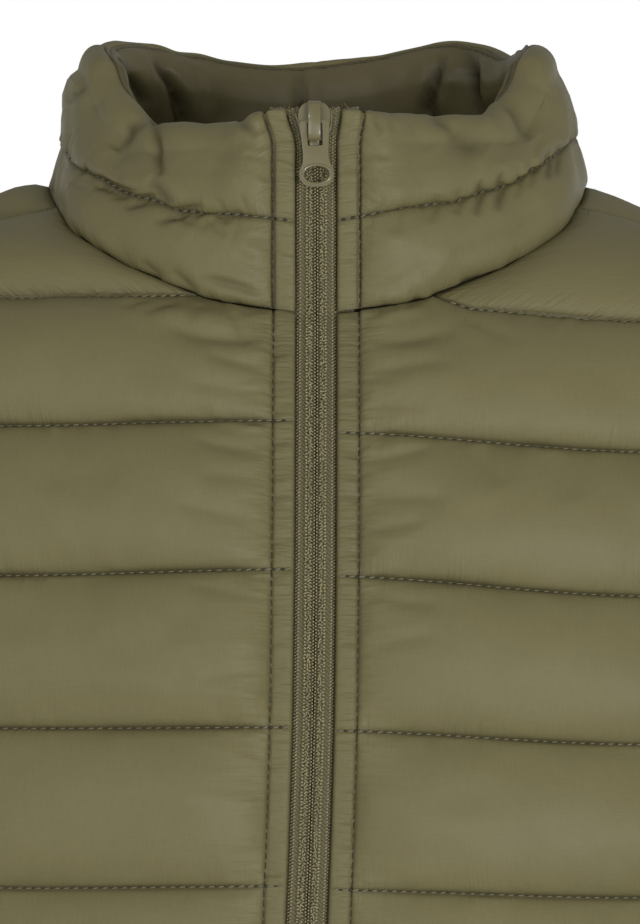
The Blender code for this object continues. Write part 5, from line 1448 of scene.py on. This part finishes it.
    # the zip's edges part at the top of the collar
    lift = step(full[..., 2], 0.0125, 0.0240) * (1 - step(np.abs(full[..., 0]), 0.0134, 0.034)) * front[None, :]
    full[..., 0] += side[None, :] * lift * np.where(side[None, :] < 0, 0.0028, 0.0014)
    sh = Shell()
    n_rows = len(full)
    uv = np.stack([np.broadcast_to(S, full.shape[:2]), np.concatenate([V, V[-1:] + 0.01 * np.arange(1, n_rows - n_skin + 1)[:, None]])], -1)
    seam = np.zeros(full.shape[:2])
    # painted shade: darker in the stitched valleys of the neck and middle seams, along the topstitches (stronger on the
    # left), and in the crease valleys
    seam[:n_skin] = np.maximum(0.95 * np.exp(-(d_line / 0.0011) ** 1.3) * np.where(strip, 0.35, 1)[None, :],
                               np.where(side < 0, 0.75, 0.35)[None, :] * np.exp(-(np.abs(xx - TOPSTITCH) / 0.0005) ** 1.4) * (front[None, :] & outer_rows))
    seam[:n_skin] = np.maximum(seam[:n_skin], crease_shade)
    lines_m, edges_m = np.zeros(full.shape[:2]), np.zeros(full.shape[:2])
    a_m, b_m = line_marks(d_line, np.where(front[None, :], xx, 0.1), 1510)
    lines_m[:n_skin], edges_m[:n_skin] = np.where(strip[None, :], 0, np.exp(-d_line / 0.0040) * 0.9), np.where(front[None, :] & outer_rows, b_m, 0)
    idx = sh.add(full, uv, seam, (lines_m, edges_m))
    loop = np.concatenate([idx, idx[:1]], 0)
    sh.quads(loop)
    for col in (0, -1):
        sh.faces.append([int(i) for i in idx[:, col]])
        sh.mats.append(0)
    ob = sh.object("collar_shell", [M_SHELL])
    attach(ob, "coat")
    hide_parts("collar")
    # stitches: middle seam and topstitches
    mid_row = full[n_low]
    nm = N[n_low]
    ahead = -w
    cut = np.abs(psi) < 100
    stitch_line("collar", mid_row[2:-2], ahead[2:-2], True, length=0.0020, radius=0.00026, lift=0.00030, slant=0.24, seed=5)
    hole_shade_line("collar", mid_row[2:-2], ahead[2:-2], size=0.00050, lift=0.00030)
    for sg in (-1, 1):
        c = int(np.argmin(np.abs(x - TOPSTITCH) + 10 * (side != sg) + 10 * (~front)))
        line = full[: n_skin - 14, c]
        stitch_line("collar", line, N[: n_skin - 14, c], True, length=0.0026, radius=0.00033, lift=0.00005, slant=-0.14 * sg, dark=True, seed=6)
    return full, N, psi, (s, mid, rim, w, x, front, e, h, thick, B)


FACING_STITCH = 0.0022
CREASES_FACING = (
    (-53.7, 45.0, -42.1, 21.0, 1.9, -3.6, 1.0), (-57.5, 44.0, -47.0, 22.0, 3.0, 1.8, 1.0), (-49.5, 45.0, -37.0, 22.0, 3.2, 1.5, 1.0),
    (-64.5, 44.0, -57.5, 30.0, 1.8, -2.6, 0.5), (-61.0, 42.0, -53.0, 26.0, 2.2, 0.9, 0.0), (-50.0, 36.0, -46.0, 21.0, 1.5, -1.6, 0.0),
    (-41.5, 43.0, -36.0, 30.0, 1.6, -0.9, 0.0), (-38.5, 42.0, -32.0, 28.0, 3.0, 0.6, 0.0),
    (-6.4, 47.0, -4.2, 20.0, 1.2, -2.6, 0.0), (-9.6, 46.0, -8.0, 20.0, 2.6, 0.9, 0.0), (-2.6, 46.0, -0.2, 20.0, 2.6, 0.8, 0.0),
    (-26.0, 44.0, -20.0, 26.0, 5.0, -0.6, 0.0), (18.0, 48.0, 22.0, 24.0, 4.5, -0.7, 0.0), (10.0, 46.0, 8.0, 24.0, 4.0, 0.4, 0.0),
    (42.5, 47.0, 34.5, 22.0, 1.8, -2.8, 0.6), (37.5, 46.0, 29.5, 24.0, 3.4, 1.0, 0.0), (46.0, 46.0, 41.0, 26.0, 2.6, 1.9, 0.6),
    (48.5, 49.0, 55.0, 25.0, 2.0, -3.4, 1.2), (54.0, 46.0, 59.0, 28.0, 3.2, 1.3, 0.8), (40.0, 32.0, 39.0, 21.0, 1.3, -1.4, 0.0),
)


def build_facing(data):
    psi_all = COLLAR_PSI
    keep = pick(len(psi_all), 380)
    keep = keep[np.abs(psi_all[keep]) > float(psi_of_x(0.0082))]
    psi = psi_all[keep]
    s, mid, rim, w, x, front, e, h, thick, B = (q[keep] for q in data)
    A, C = (thick + 0.9 * h) / 2, rim + w * ((thick - 0.9 * h) / 2)[:, None] - UP * B[:, None]
    depth0 = facing_depth(psi, B)
    rows = []
    off = 0.0013
    th0 = np.pi - np.arcsin(np.clip(1 - depth0 / B, 0, 1))
    for a in np.linspace(0, 1, 17):
        th = lerp(th0, np.pi, a)
        rise = lerp(0.00015, off, min(a / 0.3, 1.0))
        rows.append(C - w * (A * np.cos(th) - rise)[:, None] + UP * (B * np.sin(th))[:, None])
    m = mid + w * (lerp(WALL, 0.0060, e) + 0.0022)[:, None]
    b = lerp(s + w * WALL, m, 0.1) + w * 0.0012
    last = rows[-1]
    for a in np.linspace(0, 1, 21)[1:]:
        rows.append(lerp(last, m, a))
    for a in np.linspace(0, 1, 11)[1:]:
        rows.append(lerp(m, b, a))
    P = np.stack(rows)
    near = (x < 0.020) & front
    P = P + (w * np.where(near, 0.0010, 0.0)[:, None])[None]
    ref = np.broadcast_to(w[None], P.shape)
    N = grid_normals(P, ref)
    V, S = arc(P, 0), arc(P, 1)
    ease = np.clip((V - 0.001) / 0.006, 0, 1) * np.clip((V[-1:] - V) / 0.004, 0, 1)
    d = ease * (0.0008 * noise1(S / 0.0105 + V / 0.05, 871) + 0.0005 * noise2(S / 0.007, V / 0.022, 872)) * step(x, 0.015, 0.03)[None, :]
    rear = (np.abs(psi) > 84)[None, :]
    lifted = np.clip((V - 0.004) / 0.010, 0, 1) * np.clip((V[-1:] - V) / 0.010, 0, 1) * step(np.abs(psi), 84, 100)[None, :]
    shade = 0 * d
    for c in CREASES_FACING:
        f = np.where(rear, ease ** 0.5 * (1.3 if c[5] > 0 else 1.0) * fold(P[..., 0], P[..., 2], *c), 0)
        d += f
        if c[5] < -1.2:
            shade = np.maximum(shade, 0.90 * np.clip(-f / (-c[5] * MM), 0, 1) ** 1.2)
    top_pucker = 0.00030 * noise1(S / 0.0034, 881) * np.exp(-V / 0.006) * np.clip(V / 0.0008, 0, 1)
    d = d + top_pucker
    d = d + 0.0030 * lifted
    d = np.maximum(d, -0.0005 - 0.0012 * np.clip((V - 0.012) / 0.006, 0, 1))
    d -= 0.0006 * np.exp(-((V - FACING_STITCH) / 0.0006) ** 2)
    Q = P + N * d[..., None]
    behind = d.copy()
    for axis, reach in ((1, 5), (0, 3)):
        wide_d = np.pad(behind, [(reach, reach) if a == axis else (0, 0) for a in (0, 1)], mode="edge")
        size = behind.shape[axis]
        behind = np.min([np.take(wide_d, np.arange(size) + j, axis=axis) for j in range(2 * reach + 1)], axis=0)
    R = P + N * (behind - 0.0005)[..., None]
    sh = Shell()
    uv = np.stack([S, V], -1)
    # painted shade in the crease valleys and along the stitch line; the top edge is darker too
    seam = np.maximum(0.30 * np.exp(-np.abs(V - FACING_STITCH) / 0.0005) + 0.40 * np.exp(-V / 0.0005), shade)
    outer = sh.add(Q, uv, np.clip(seam, 0, 1), (0.8 * np.exp(-np.abs(V - FACING_STITCH) / 0.003), 0.0))
    inner = sh.add(R, uv)
    sh.quads(outer)
    sh.quads(inner, 0, True)
    for a, bb in ((outer[0], inner[0]), (outer[-1], inner[-1]), (outer[:, 0], inner[:, 0]), (outer[:, -1], inner[:, -1])):
        sh.zipper(a, bb)
    ob = sh.object("facing_sheet", [M_FACING])
    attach(ob, "coat")
    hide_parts("collar_facing")
    r = int(np.argmin(np.abs(V[:, len(psi) // 3] - FACING_STITCH)))
    lo = np.abs(psi) > 75
    stitch_line("facing", Q[r][lo], N[r][lo], True, length=0.0017, radius=0.00018, lift=0.00002, slant=0.1, dark=True, seed=8)
    return ob


# ---------------------------------------------------------------- zip
def tape_depth(x):
    """The tape bows forward between the fabric edges."""
    return lerp(0.0024, 0.0034, step(np.abs(x), 0.0048, 0.0064))


def flare(x, z):
    """The tape ends part above the slider."""
    sg = np.sign(x)
    return sg * step(z, 0.0125, 0.0240) * np.where(sg < 0, 0.0028, 0.0014) * np.clip(np.abs(x) / 0.006, 0, 1)


def zip_at(x, z, depth):
    p, outward, tangent = zip_point(x, z, depth)
    p[..., 0] += flare(np.asarray(x, float) + 0 * p[..., 0], p[..., 2])
    return p, outward, tangent


def build_tape(side):
    zs = np.concatenate([np.linspace(0.0250, -0.235, 272), np.linspace(-0.239, HEM_Z + 0.0004, 170)])
    xs = np.array([0.0003, 0.0012, 0.0022, 0.0032, 0.0038, 0.0044, 0.0050, 0.0056, 0.0062, 0.0070, 0.0085, 0.0102, 0.0119])
    Z, X = np.meshgrid(zs, xs, indexing="ij")
    inner = lerp(0.0003, 0.0030, step(Z, 0.0130, 0.0190))
    X = np.where(X < inner, inner + (X - 0.0003) * 0.15, X)
    dep = tape_depth(X) + 0.00005 * noise2(X / 0.0005, Z / 0.0005, 700 + side)
    rib = 0.00028 * np.exp(-((X - 0.0051) / 0.00045) ** 2)
    Zj = Z.copy()
    Zj[0] += 0.0006 * noise1(X[0] / 0.0007, 710 + side)
    p, o, t = zip_at(side * X, Zj, dep - rib)
    back = p - o * 0.0007
    sh = Shell()
    uv = np.stack([X, -Z], -1)
    a = sh.add(p, uv)
    rows, cols = pick(len(zs), 120), np.array([0, 3, 8, 12])
    b = sh.add(back[np.ix_(rows, cols)], uv[np.ix_(rows, cols)])
    sh.quads(a)
    sh.quads(b, 0, True)
    sh.zipper(a[:, 0], b[:, 0])
    sh.zipper(a[:, -1], b[:, -1])
    sh.zipper(a[0], b[0])
    sh.zipper(a[-1], b[-1])
    name = "zip_tape_left" if side < 0 else "zip_tape_right"
    ob = sh.object(name + "_cloth", [M_TAPE])
    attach(ob, "coat")
    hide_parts(name)
    return ob


def place_beads(parts, template, x, z, depth, turn=None, scale=None):
    p, o, t = zip_at(x, z, depth)
    right = np.cross(t, -o)
    right = np.where(right[..., :1] < 0, -right, right)
    axes = np.stack([right, t, o], -1)
    if turn is not None:
        c, s = np.cos(turn)[:, None], np.sin(turn)[:, None]
        axes = np.stack([right * c + t * s, t * c - right * s, o], -1)
    if scale is not None:
        axes = axes * np.asarray(scale)[:, None, None]
    parts.append((*template, p, axes))


ZIP_PITCH = 0.00100


def build_chain():
    tooth = capsule(6, 3, 1.0, 0.5)
    tooth_low = capsule(3, 2, 1.0, 0.5)

    def bar(tmpl, length, rz, ro):
        v, f = tmpl
        return v * np.array([length, 2 * rz, 2 * ro]), f

    floats_of = {-1: [], 1: []}
    for side in (-1, 1):
        rng = np.random.default_rng(720 + side)
        parts, ribs = [], []
        for z1, z0, fine in ((0.0160, -0.236, True), (-0.236, HEM_Z + 0.0128, False)):
            n = int((z1 - z0) / ZIP_PITCH)
            z = z1 - ZIP_PITCH * (np.arange(n) + (0.5 if side > 0 else 0.0))
            jit = lambda a: rng.normal(0, a, n)
            sx = side
            b_in = bead(6, 3, 0.00030, 0.00033, 0.00040) if fine else bead(3, 1, 0.00030, 0.00036, 0.00040)
            b_out = bead(6, 3, 0.00042, 0.00031, 0.00042) if fine else bead(3, 1, 0.00042, 0.00035, 0.00042)
            leg = bar(tooth if fine else tooth_low, 0.0026, 0.00026, 0.00036)
            place_beads(parts, leg, sx * (0.00175 + 0 * z), z + jit(0.00002), 0.00135 + 0 * z, side * 0.12 + jit(0.05))
            place_beads(floats_of[side], b_in, sx * (0.00037 + jit(0.00003)), z + 0.0002 + jit(0.00003), 0.00092 + jit(0.00004), jit(0.3), 1 + jit(0.06))
            place_beads(floats_of[side], b_out, sx * (0.00295 + jit(0.00006)), z + jit(0.00005), 0.00105 + jit(0.00006), side * 0.4 + jit(0.25), 1 + jit(0.08))
            # the sewing thread over the middle of the coil, uneven loops
            loops = floats_of[side]
            th = bar(tooth if fine else tooth_low, 0.00100, 0.00018, 0.00022)
            place_beads(loops, th, sx * (0.00145 + jit(0.00012)), z + jit(0.0001), 0.00088 + jit(0.00008), 0.9 * side + jit(0.5), 1 + jit(0.12))
            if fine:
                place_beads(loops, th, sx * (0.00205 + jit(0.00014)), z + 0.0005 + jit(0.00012), 0.00092 + jit(0.0001), -0.8 * side + jit(0.6), 1 + jit(0.15))
            # ribs of the tape along the fabric edge
            rb = bead(6, 3, 0.00046, 0.00027, 0.00038) if fine else bead(4, 1, 0.00046, 0.00028, 0.00038)
            place_beads(ribs, rb, sx * (0.00510 + jit(0.00004)), z + 0.0003, 0.00205 + 0 * z, 0.55 + jit(0.08), 1 + jit(0.05))
            rb2 = bead(5, 2, 0.00036, 0.00024, 0.00028) if fine else None
            if fine:
                place_beads(ribs, rb2, sx * (0.00582 + jit(0.00004)), z - 0.0001, 0.00245 + 0 * z, 0.5 + jit(0.1), 1 + jit(0.06))
        name = "left" if side < 0 else "right"
        ob = scatter(f"zip_coil_{name}", parts, M_COIL)
        if side < 0:
            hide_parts("zip_chain")
        scatter(f"zip_loops_{name}", floats_of[side], M_BEAD)
        scatter(f"zip_rib_{name}", ribs, M_BEAD)
    # the woven tape shows as rows of small floats round the slider
    rng = np.random.default_rng(740)
    floats = []
    rows, cols = np.arange(0.0246, -0.0015, -0.00096), np.arange(0.0034, 0.0078, 0.00080)
    Z, X = np.meshgrid(rows, cols, indexing="ij")
    Z = Z + np.where(np.arange(len(cols)) % 2 == 0, 0.0, 0.00042)[None, :]
    Z, X = Z.ravel(), X.ravel()
    keep = (X < np.where(Z > 0.012, 0.0070, 0.0047)) & ((Z < 0.0236) | (X < 0.0060))
    Z, X = Z[keep], X[keep]
    for side in (-1, 1):
        n = len(Z)
        place_beads(floats, bead(5, 2, 0.00030, 0.00019, 0.00026), side * (X + rng.normal(0, 0.00004, n)), Z + rng.normal(0, 0.00006, n),
                    tape_depth(X) - 0.00014, 0.6 * side + rng.normal(0, 0.25, n), 1 + rng.normal(0, 0.15, n))
    # loose threads at the cut ends
    hair = capsule(4, 3, 0.0032, 0.00007)
    m = 7
    hx = np.array([-0.0072, -0.0058, -0.0040, 0.0042, 0.0055, 0.0066, 0.0081])
    place_beads(floats, hair, hx, np.full(m, 0.0254), np.full(m, 0.0026), np.array([2.2, 1.3, 1.8, 1.2, 1.9, 1.1, 2.3]), np.array([0.5, 0.4, 0.35, 0.4, 0.5, 0.35, 0.9]))
    scatter("zip_tape_ends", floats, M_BEAD)


# ---------------------------------------------------------------- slider, pull tab and box
def lean():
    return math.atan2(float(zip_profile(-0.008) - zip_profile(0.024)), 0.032)


def smooth_loop(points, per=6):
    """A closed smooth curve through an outline."""
    pts = np.array(points, float)
    n = len(pts)
    out = []
    for i in range(n):
        p0, p1, p2, p3 = pts[(i - 1) % n], pts[i], pts[(i + 1) % n], pts[(i + 2) % n]
        for u in np.arange(per) / per:
            out.append(0.5 * (2 * p1 + (p2 - p0) * u + (2 * p0 - 5 * p1 + 4 * p2 - p3) * u * u + (3 * p1 - p0 - 3 * p2 + p3) * u ** 3))
    return [tuple(p) for p in out]


def mirror_half(half):
    return half + [(-x, z) for x, z in reversed(half) if abs(x) > 1e-9]


def ellipse(cx, cz, rx, rz, n):
    return [(cx + rx * math.cos(2 * math.pi * i / n), cz + rz * math.sin(2 * math.pi * i / n)) for i in range(n)]


def plate(name, outline, cuts, thickness, bevel, segments=3):
    bm = bmesh.new()
    edges = []
    for loop in [outline] + cuts:
        vs = [bm.verts.new((x, 0.0, z)) for x, z in loop]
        edges += [bm.edges.new((vs[i], vs[(i + 1) % len(vs)])) for i in range(len(vs))]
    bmesh.ops.triangle_fill(bm, edges=edges, use_beauty=True, use_dissolve=False)
    geo = bmesh.ops.extrude_face_region(bm, geom=bm.faces[:])
    bmesh.ops.translate(bm, verts=[v for v in geo["geom"] if isinstance(v, bmesh.types.BMVert)], vec=(0, thickness, 0))
    bmesh.ops.translate(bm, verts=bm.verts[:], vec=(0, -thickness / 2, 0))
    bmesh.ops.recalc_face_normals(bm, faces=bm.faces[:])
    rim = [e for e in bm.edges if len(e.link_faces) == 2 and e.calc_face_angle(0) > math.radians(60)
           and abs(e.verts[0].co.y - e.verts[1].co.y) < 1e-7]
    bmesh.ops.bevel(bm, geom=rim, offset=bevel, segments=segments, profile=0.6, affect="EDGES", clamp_overlap=True)
    bmesh.ops.recalc_face_normals(bm, faces=bm.faces[:])
    me = bpy.data.meshes.new(name)
    bm.to_mesh(me)
    bm.free()
    me.shade_smooth()
    me.set_sharp_from_angle(angle=math.radians(40))
    me.materials.append(M_ENAMEL)
    ob = bpy.data.objects.new(name, me)
    bpy.context.scene.collection.objects.link(ob)
    return ob


def side_extrusion(name, profile, half_width, bevel):
    """A profile of (out, z) pushed out across its width, with rounded edges."""
    bm = bmesh.new()
    vs = [bm.verts.new((-half_width, -o, z)) for o, z in profile]
    f = bm.faces.new(vs)
    geo = bmesh.ops.extrude_face_region(bm, geom=[f])
    bmesh.ops.translate(bm, verts=[v for v in geo["geom"] if isinstance(v, bmesh.types.BMVert)], vec=(2 * half_width, 0, 0))
    bmesh.ops.recalc_face_normals(bm, faces=bm.faces[:])
    rim = [e for e in bm.edges if abs(e.verts[0].co.x - e.verts[1].co.x) < 1e-7]
    bmesh.ops.bevel(bm, geom=rim, offset=bevel, segments=3, profile=0.6, affect="EDGES", clamp_overlap=True)
    bmesh.ops.recalc_face_normals(bm, faces=bm.faces[:])
    me = bpy.data.meshes.new(name)
    bm.to_mesh(me)
    bm.free()
    me.shade_smooth()
    me.set_sharp_from_angle(angle=math.radians(35))
    me.materials.append(M_ENAMEL)
    ob = bpy.data.objects.new(name, me)
    bpy.context.scene.collection.objects.link(ob)
    return ob


def seat(ob, offset, body, replaced=None):
    a = lean()
    out = Vector((0, -math.cos(a), math.sin(a)))
    origin = Vector((-0.0006, -float(zip_profile(PULL_Z)), PULL_Z)) + out * offset
    turn = Matrix.Rotation(-a, 4, "X")
    ob.data.transform(Matrix.Translation(origin) @ turn)
    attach(ob, body)
    if replaced:
        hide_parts(replaced)
    return ob


def build_slider():
    half = [(0.0000, 0.0064), (0.0026, 0.0062), (0.0042, 0.0050), (0.0050, 0.0030), (0.0049, 0.0005),
            (0.0044, -0.0038), (0.0034, -0.0055), (0.0000, -0.0058)]
    outline = smooth_loop(mirror_half(half), 5)
    seat(plate("slider_plate", outline, [], 0.0017, 0.00055, 4), 0.00095, "coat", "zip_slider")
    seat(plate("slider_back", outline, [], 0.0013, 0.0004, 2), -(TAPE_BACK + 0.00105), "coat")
    post = plate("slider_post", [(-0.0010, 0.0020), (0.0010, 0.0020), (0.0010, 0.0048), (-0.0010, 0.0048)], [], 0.0058, 0.0002, 1)
    seat(post, -0.0020, "coat")
    top_out, bar = 0.0052, 0.0011
    prof = [(0.0014, 0.0064), (0.0036, 0.0065), (0.0046, 0.0060), (top_out, 0.0050), (top_out, -0.0042), (0.0047, -0.0053), (0.0038, -0.0059), (0.0014, -0.0058),
            (0.0014, -0.0043), (0.0034, -0.0041), (top_out - bar, -0.0034), (top_out - bar, 0.0040), (0.0034, 0.0049), (0.0014, 0.0051)]
    seat(side_extrusion("slider_bridge", prof, 0.00195, 0.00042), 0.0, "coat")
    nose = plate("slider_nose", [(-0.00165, -0.0054), (0.00165, -0.0054), (0.00155, -0.0074), (-0.00155, -0.0074)], [], 0.0012, 0.00025, 2)
    seat(nose, 0.0008, "coat")
    # the flanges that fold round the tape ends
    for sg in (-1, 1):
        path = [(0.0062, 0.0032), (0.0056, 0.0018), (0.0050, 0.0002), (0.0045, -0.0020), (0.0037, -0.0044)] if sg < 0 else [
            (0.0047, 0.0046), (0.0054, 0.0030), (0.0053, 0.0006), (0.0050, -0.0018), (0.0040, -0.0042)]
        q = np.array(path)
        u = np.linspace(0, len(q) - 1, 25)
        xs, zs = np.interp(u, range(len(q)), q[:, 0]), np.interp(u, range(len(q)), q[:, 1])
        verts, faces = [], []
        for i, (x, z) in enumerate(zip(xs, zs)):
            r = 0.00042 * (1 - abs(2 * i / 24 - 1) ** 6) + 0.00005
            for j in range(8):
                a = 2 * math.pi * j / 8
                verts.append((sg * (x + r * math.cos(a)), -0.0004 + 0.0011 * math.sin(a) * (r / 0.00042), z))
        for i in range(24):
            for j in range(8):
                k = (j + 1) % 8
                faces.append((i * 8 + j, i * 8 + k, i * 8 + 8 + k, i * 8 + 8 + j))
        faces.append(tuple(range(8)))
        faces.append(tuple(range(24 * 8 + 7, 24 * 8 - 1, -1)))
        ob = build_mesh(f"slider_flange_{'left' if sg < 0 else 'right'}", verts, faces, [M_ENAMEL])
        bm = bmesh.new()
        bm.from_mesh(ob.data)
        bmesh.ops.recalc_face_normals(bm, faces=bm.faces[:])
        bm.to_mesh(ob.data)
        bm.free()
        ob.data.shade_smooth()
        seat(ob, 0.0, "coat")


def build_pull():
    half = [(0.0000, 0.0005), (0.0020, 0.0005), (0.0036, 0.0005), (0.0044, 0.0000), (0.0045, -0.0018), (0.0042, -0.0062), (0.0040, -0.0092),
            (0.0040, -0.0112), (0.0043, -0.0130), (0.0050, -0.0147), (0.0054, -0.0166), (0.0050, -0.0184), (0.0038, -0.0198),
            (0.0020, -0.0204), (0.0000, -0.0205)]
    outline = smooth_loop(mirror_half(half), 4)
    window = [(-0.0024, -0.0005), (0.0024, -0.0005), (0.0024, -0.0068), (0.0023, -0.0073), (0.0019, -0.0076), (0.0, -0.0077),
              (-0.0019, -0.0076), (-0.0023, -0.0073), (-0.0024, -0.0068)]
    hole = ellipse(0.0, -0.0166, 0.00400, 0.0026, 32)
    pull = plate("pull_tab", outline, [window[::-1], hole[::-1]], 0.0011, 0.00030, 3)
    # a raised lip round the hole, part of the same piece
    bm = bmesh.new()
    bm.from_mesh(pull.data)
    n, m = 40, 8
    ring_v = []
    for i in range(n):
        a = 2 * math.pi * i / n
        cx, cz = 0.00445 * math.cos(a), -0.0166 + 0.0031 * math.sin(a)
        nx, nz = math.cos(a) / 0.00445, math.sin(a) / 0.0031
        l = math.hypot(nx, nz)
        nx, nz = nx / l, nz / l
        ring_v.append([bm.verts.new((cx + nx * 0.00042 * math.cos(b), -0.00052 - 0.00022 * math.sin(b), cz + nz * 0.00042 * math.cos(b)))
                       for b in [2 * math.pi * j / m for j in range(m)]])
    for i in range(n):
        for j in range(m):
            bm.faces.new((ring_v[i][j], ring_v[i][(j + 1) % m], ring_v[(i + 1) % n][(j + 1) % m], ring_v[(i + 1) % n][j]))
    bmesh.ops.recalc_face_normals(bm, faces=bm.faces[:])
    bm.to_mesh(pull.data)
    bm.free()
    pull.data.shade_smooth()
    pull.data.set_sharp_from_angle(angle=math.radians(45))
    pull.data.transform(Matrix.Rotation(math.radians(-2.6), 4, "Y"))
    seat(pull, BAR_OUT, "zip_pull", "zip_pull")


def build_box():
    z0, z1, half = HEM_Z + 0.0012, HEM_Z + 0.0124, 0.0046
    n = 14
    rows = []
    zs = np.linspace(z0, z1, n)
    for i, z in enumerate(zs):
        u = abs(2 * i / (n - 1) - 1)
        w = half - 0.0008 * u ** 6
        sec = []
        for j in range(16):
            a = 2 * math.pi * j / 16
            cx, cy = math.copysign(abs(math.cos(a)) ** 0.4, math.cos(a)), math.copysign(abs(math.sin(a)) ** 0.4, math.sin(a))
            d = 0.0005 + 0.0015 * cy * (1 - 0.15 * u ** 6)
            sec.append(zip_point(np.array(w * cx), np.array(z), np.array(d))[0])
        rows.append(sec)
    verts = [p for r in rows for p in r]
    faces = [(i * 16 + j, i * 16 + (j + 1) % 16, i * 16 + 16 + (j + 1) % 16, i * 16 + 16 + j) for i in range(n - 1) for j in range(16)]
    faces += [tuple(range(16)), tuple((n - 1) * 16 + j for j in range(16))[::-1]]
    ob = build_mesh("zip_box_moulded", verts, faces, [M_ENAMEL], sharp=60)
    bm = bmesh.new()
    bm.from_mesh(ob.data)
    bmesh.ops.recalc_face_normals(bm, faces=bm.faces[:])
    bm.to_mesh(ob.data)
    bm.free()
    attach(ob, "coat")
    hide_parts("zip_box")


# ---------------------------------------------------------------- build everything
build_front("front_left_shell", -1)
build_front("front_right_shell", 1)
build_back()
build_sleeve("sleeve_left", -1)
build_sleeve("sleeve_right", 1)
collar_points, collar_normals, collar_psi, collar_data = build_collar()
build_facing(collar_data)
build_tape(-1)
build_tape(1)
build_chain()
build_slider()
build_pull()
build_box()
finish_stitches()


# ---------------------------------------------------------------- floor, light and camera
def area_light(name, where, at, size, power, colour=(1, 1, 1)):
    data = bpy.data.lights.new(name, "AREA")
    data.shape, data.size, data.size_y, data.energy, data.color = "RECTANGLE", size[0], size[1], power, colour
    ob = bpy.data.objects.new(name, data)
    ob.location = where
    ob.rotation_euler = (Vector(at) - Vector(where)).to_track_quat("-Z", "Y").to_euler()
    bpy.context.scene.collection.objects.link(ob)
    return ob


def floor():
    n = 64
    verts = [(0, 0, -1.075)] + [(7 * math.cos(2 * math.pi * i / n), 7 * math.sin(2 * math.pi * i / n), -1.075) for i in range(n)]
    faces = [(0, 1 + i, 1 + (i + 1) % n) for i in range(n)]
    m, nt, b = new_material("floor_pale")
    b.inputs["Base Color"].default_value = (0.80, 0.80, 0.80, 1)
    b.inputs["Roughness"].default_value = 0.9
    ob = build_mesh("floor", verts, faces, [m], smooth=False)
    return ob


floor()
world = bpy.data.worlds.new("studio")
bpy.context.scene.world = world
world.use_nodes = True
wn = world.node_tree
bg = wn.nodes["Background"]
geo = wn.nodes.new("ShaderNodeTexCoord")
sep = wn.nodes.new("ShaderNodeSeparateXYZ")
wn.links.new(geo.outputs["Generated"], sep.inputs[0])
ramp = wn.nodes.new("ShaderNodeValToRGB")
ramp.color_ramp.elements[0].position, ramp.color_ramp.elements[0].color = 0.0, (0.75, 0.75, 0.75, 1)
ramp.color_ramp.elements[1].position, ramp.color_ramp.elements[1].color = 1.0, (0.33, 0.33, 0.33, 1)
for pos_, value in ((0.455, 1.00), (0.545, 1.00), (0.61, 0.40)):
    el = ramp.color_ramp.elements.new(pos_)
    el.color = (value, value, value, 1)
half_z = wn.nodes.new("ShaderNodeMapRange")
for key, v in zip(("From Min", "From Max", "To Min", "To Max"), (-1, 1, 0, 1)):
    half_z.inputs[key].default_value = v
wn.links.new(sep.outputs["Z"], half_z.inputs["Value"])
wn.links.new(half_z.outputs["Result"], ramp.inputs[0])
wn.links.new(ramp.outputs[0], bg.inputs["Color"])
bg.inputs["Strength"].default_value = 1.0

area_light("key_low", (0.85, -2.10, -0.32), (0, -0.05, 0.05), (0.50, 0.40), 20)
area_light("fill_front", (-0.9, -2.6, 0.10), (0, -0.05, 0.02), (1.2, 1.2), 9)
area_light("glint_top", (-0.45, -1.6, 0.75), (0, -0.07, -0.03), (0.12, 0.12), 1.4)

cam_data = bpy.data.cameras.new("camera")
cam_data.sensor_width, cam_data.lens, cam_data.clip_start, cam_data.clip_end = 36.0, 36.0 * 2.5 / 0.28875, 0.05, 60.0
cam = bpy.data.objects.new("camera", cam_data)
cam.location = (0.00116, -2.57, -0.08594)
cam.rotation_euler = (math.radians(90), 0, 0)
bpy.context.scene.collection.objects.link(cam)
bpy.context.scene.camera = cam
bpy.context.scene.view_settings.view_transform = "Standard"
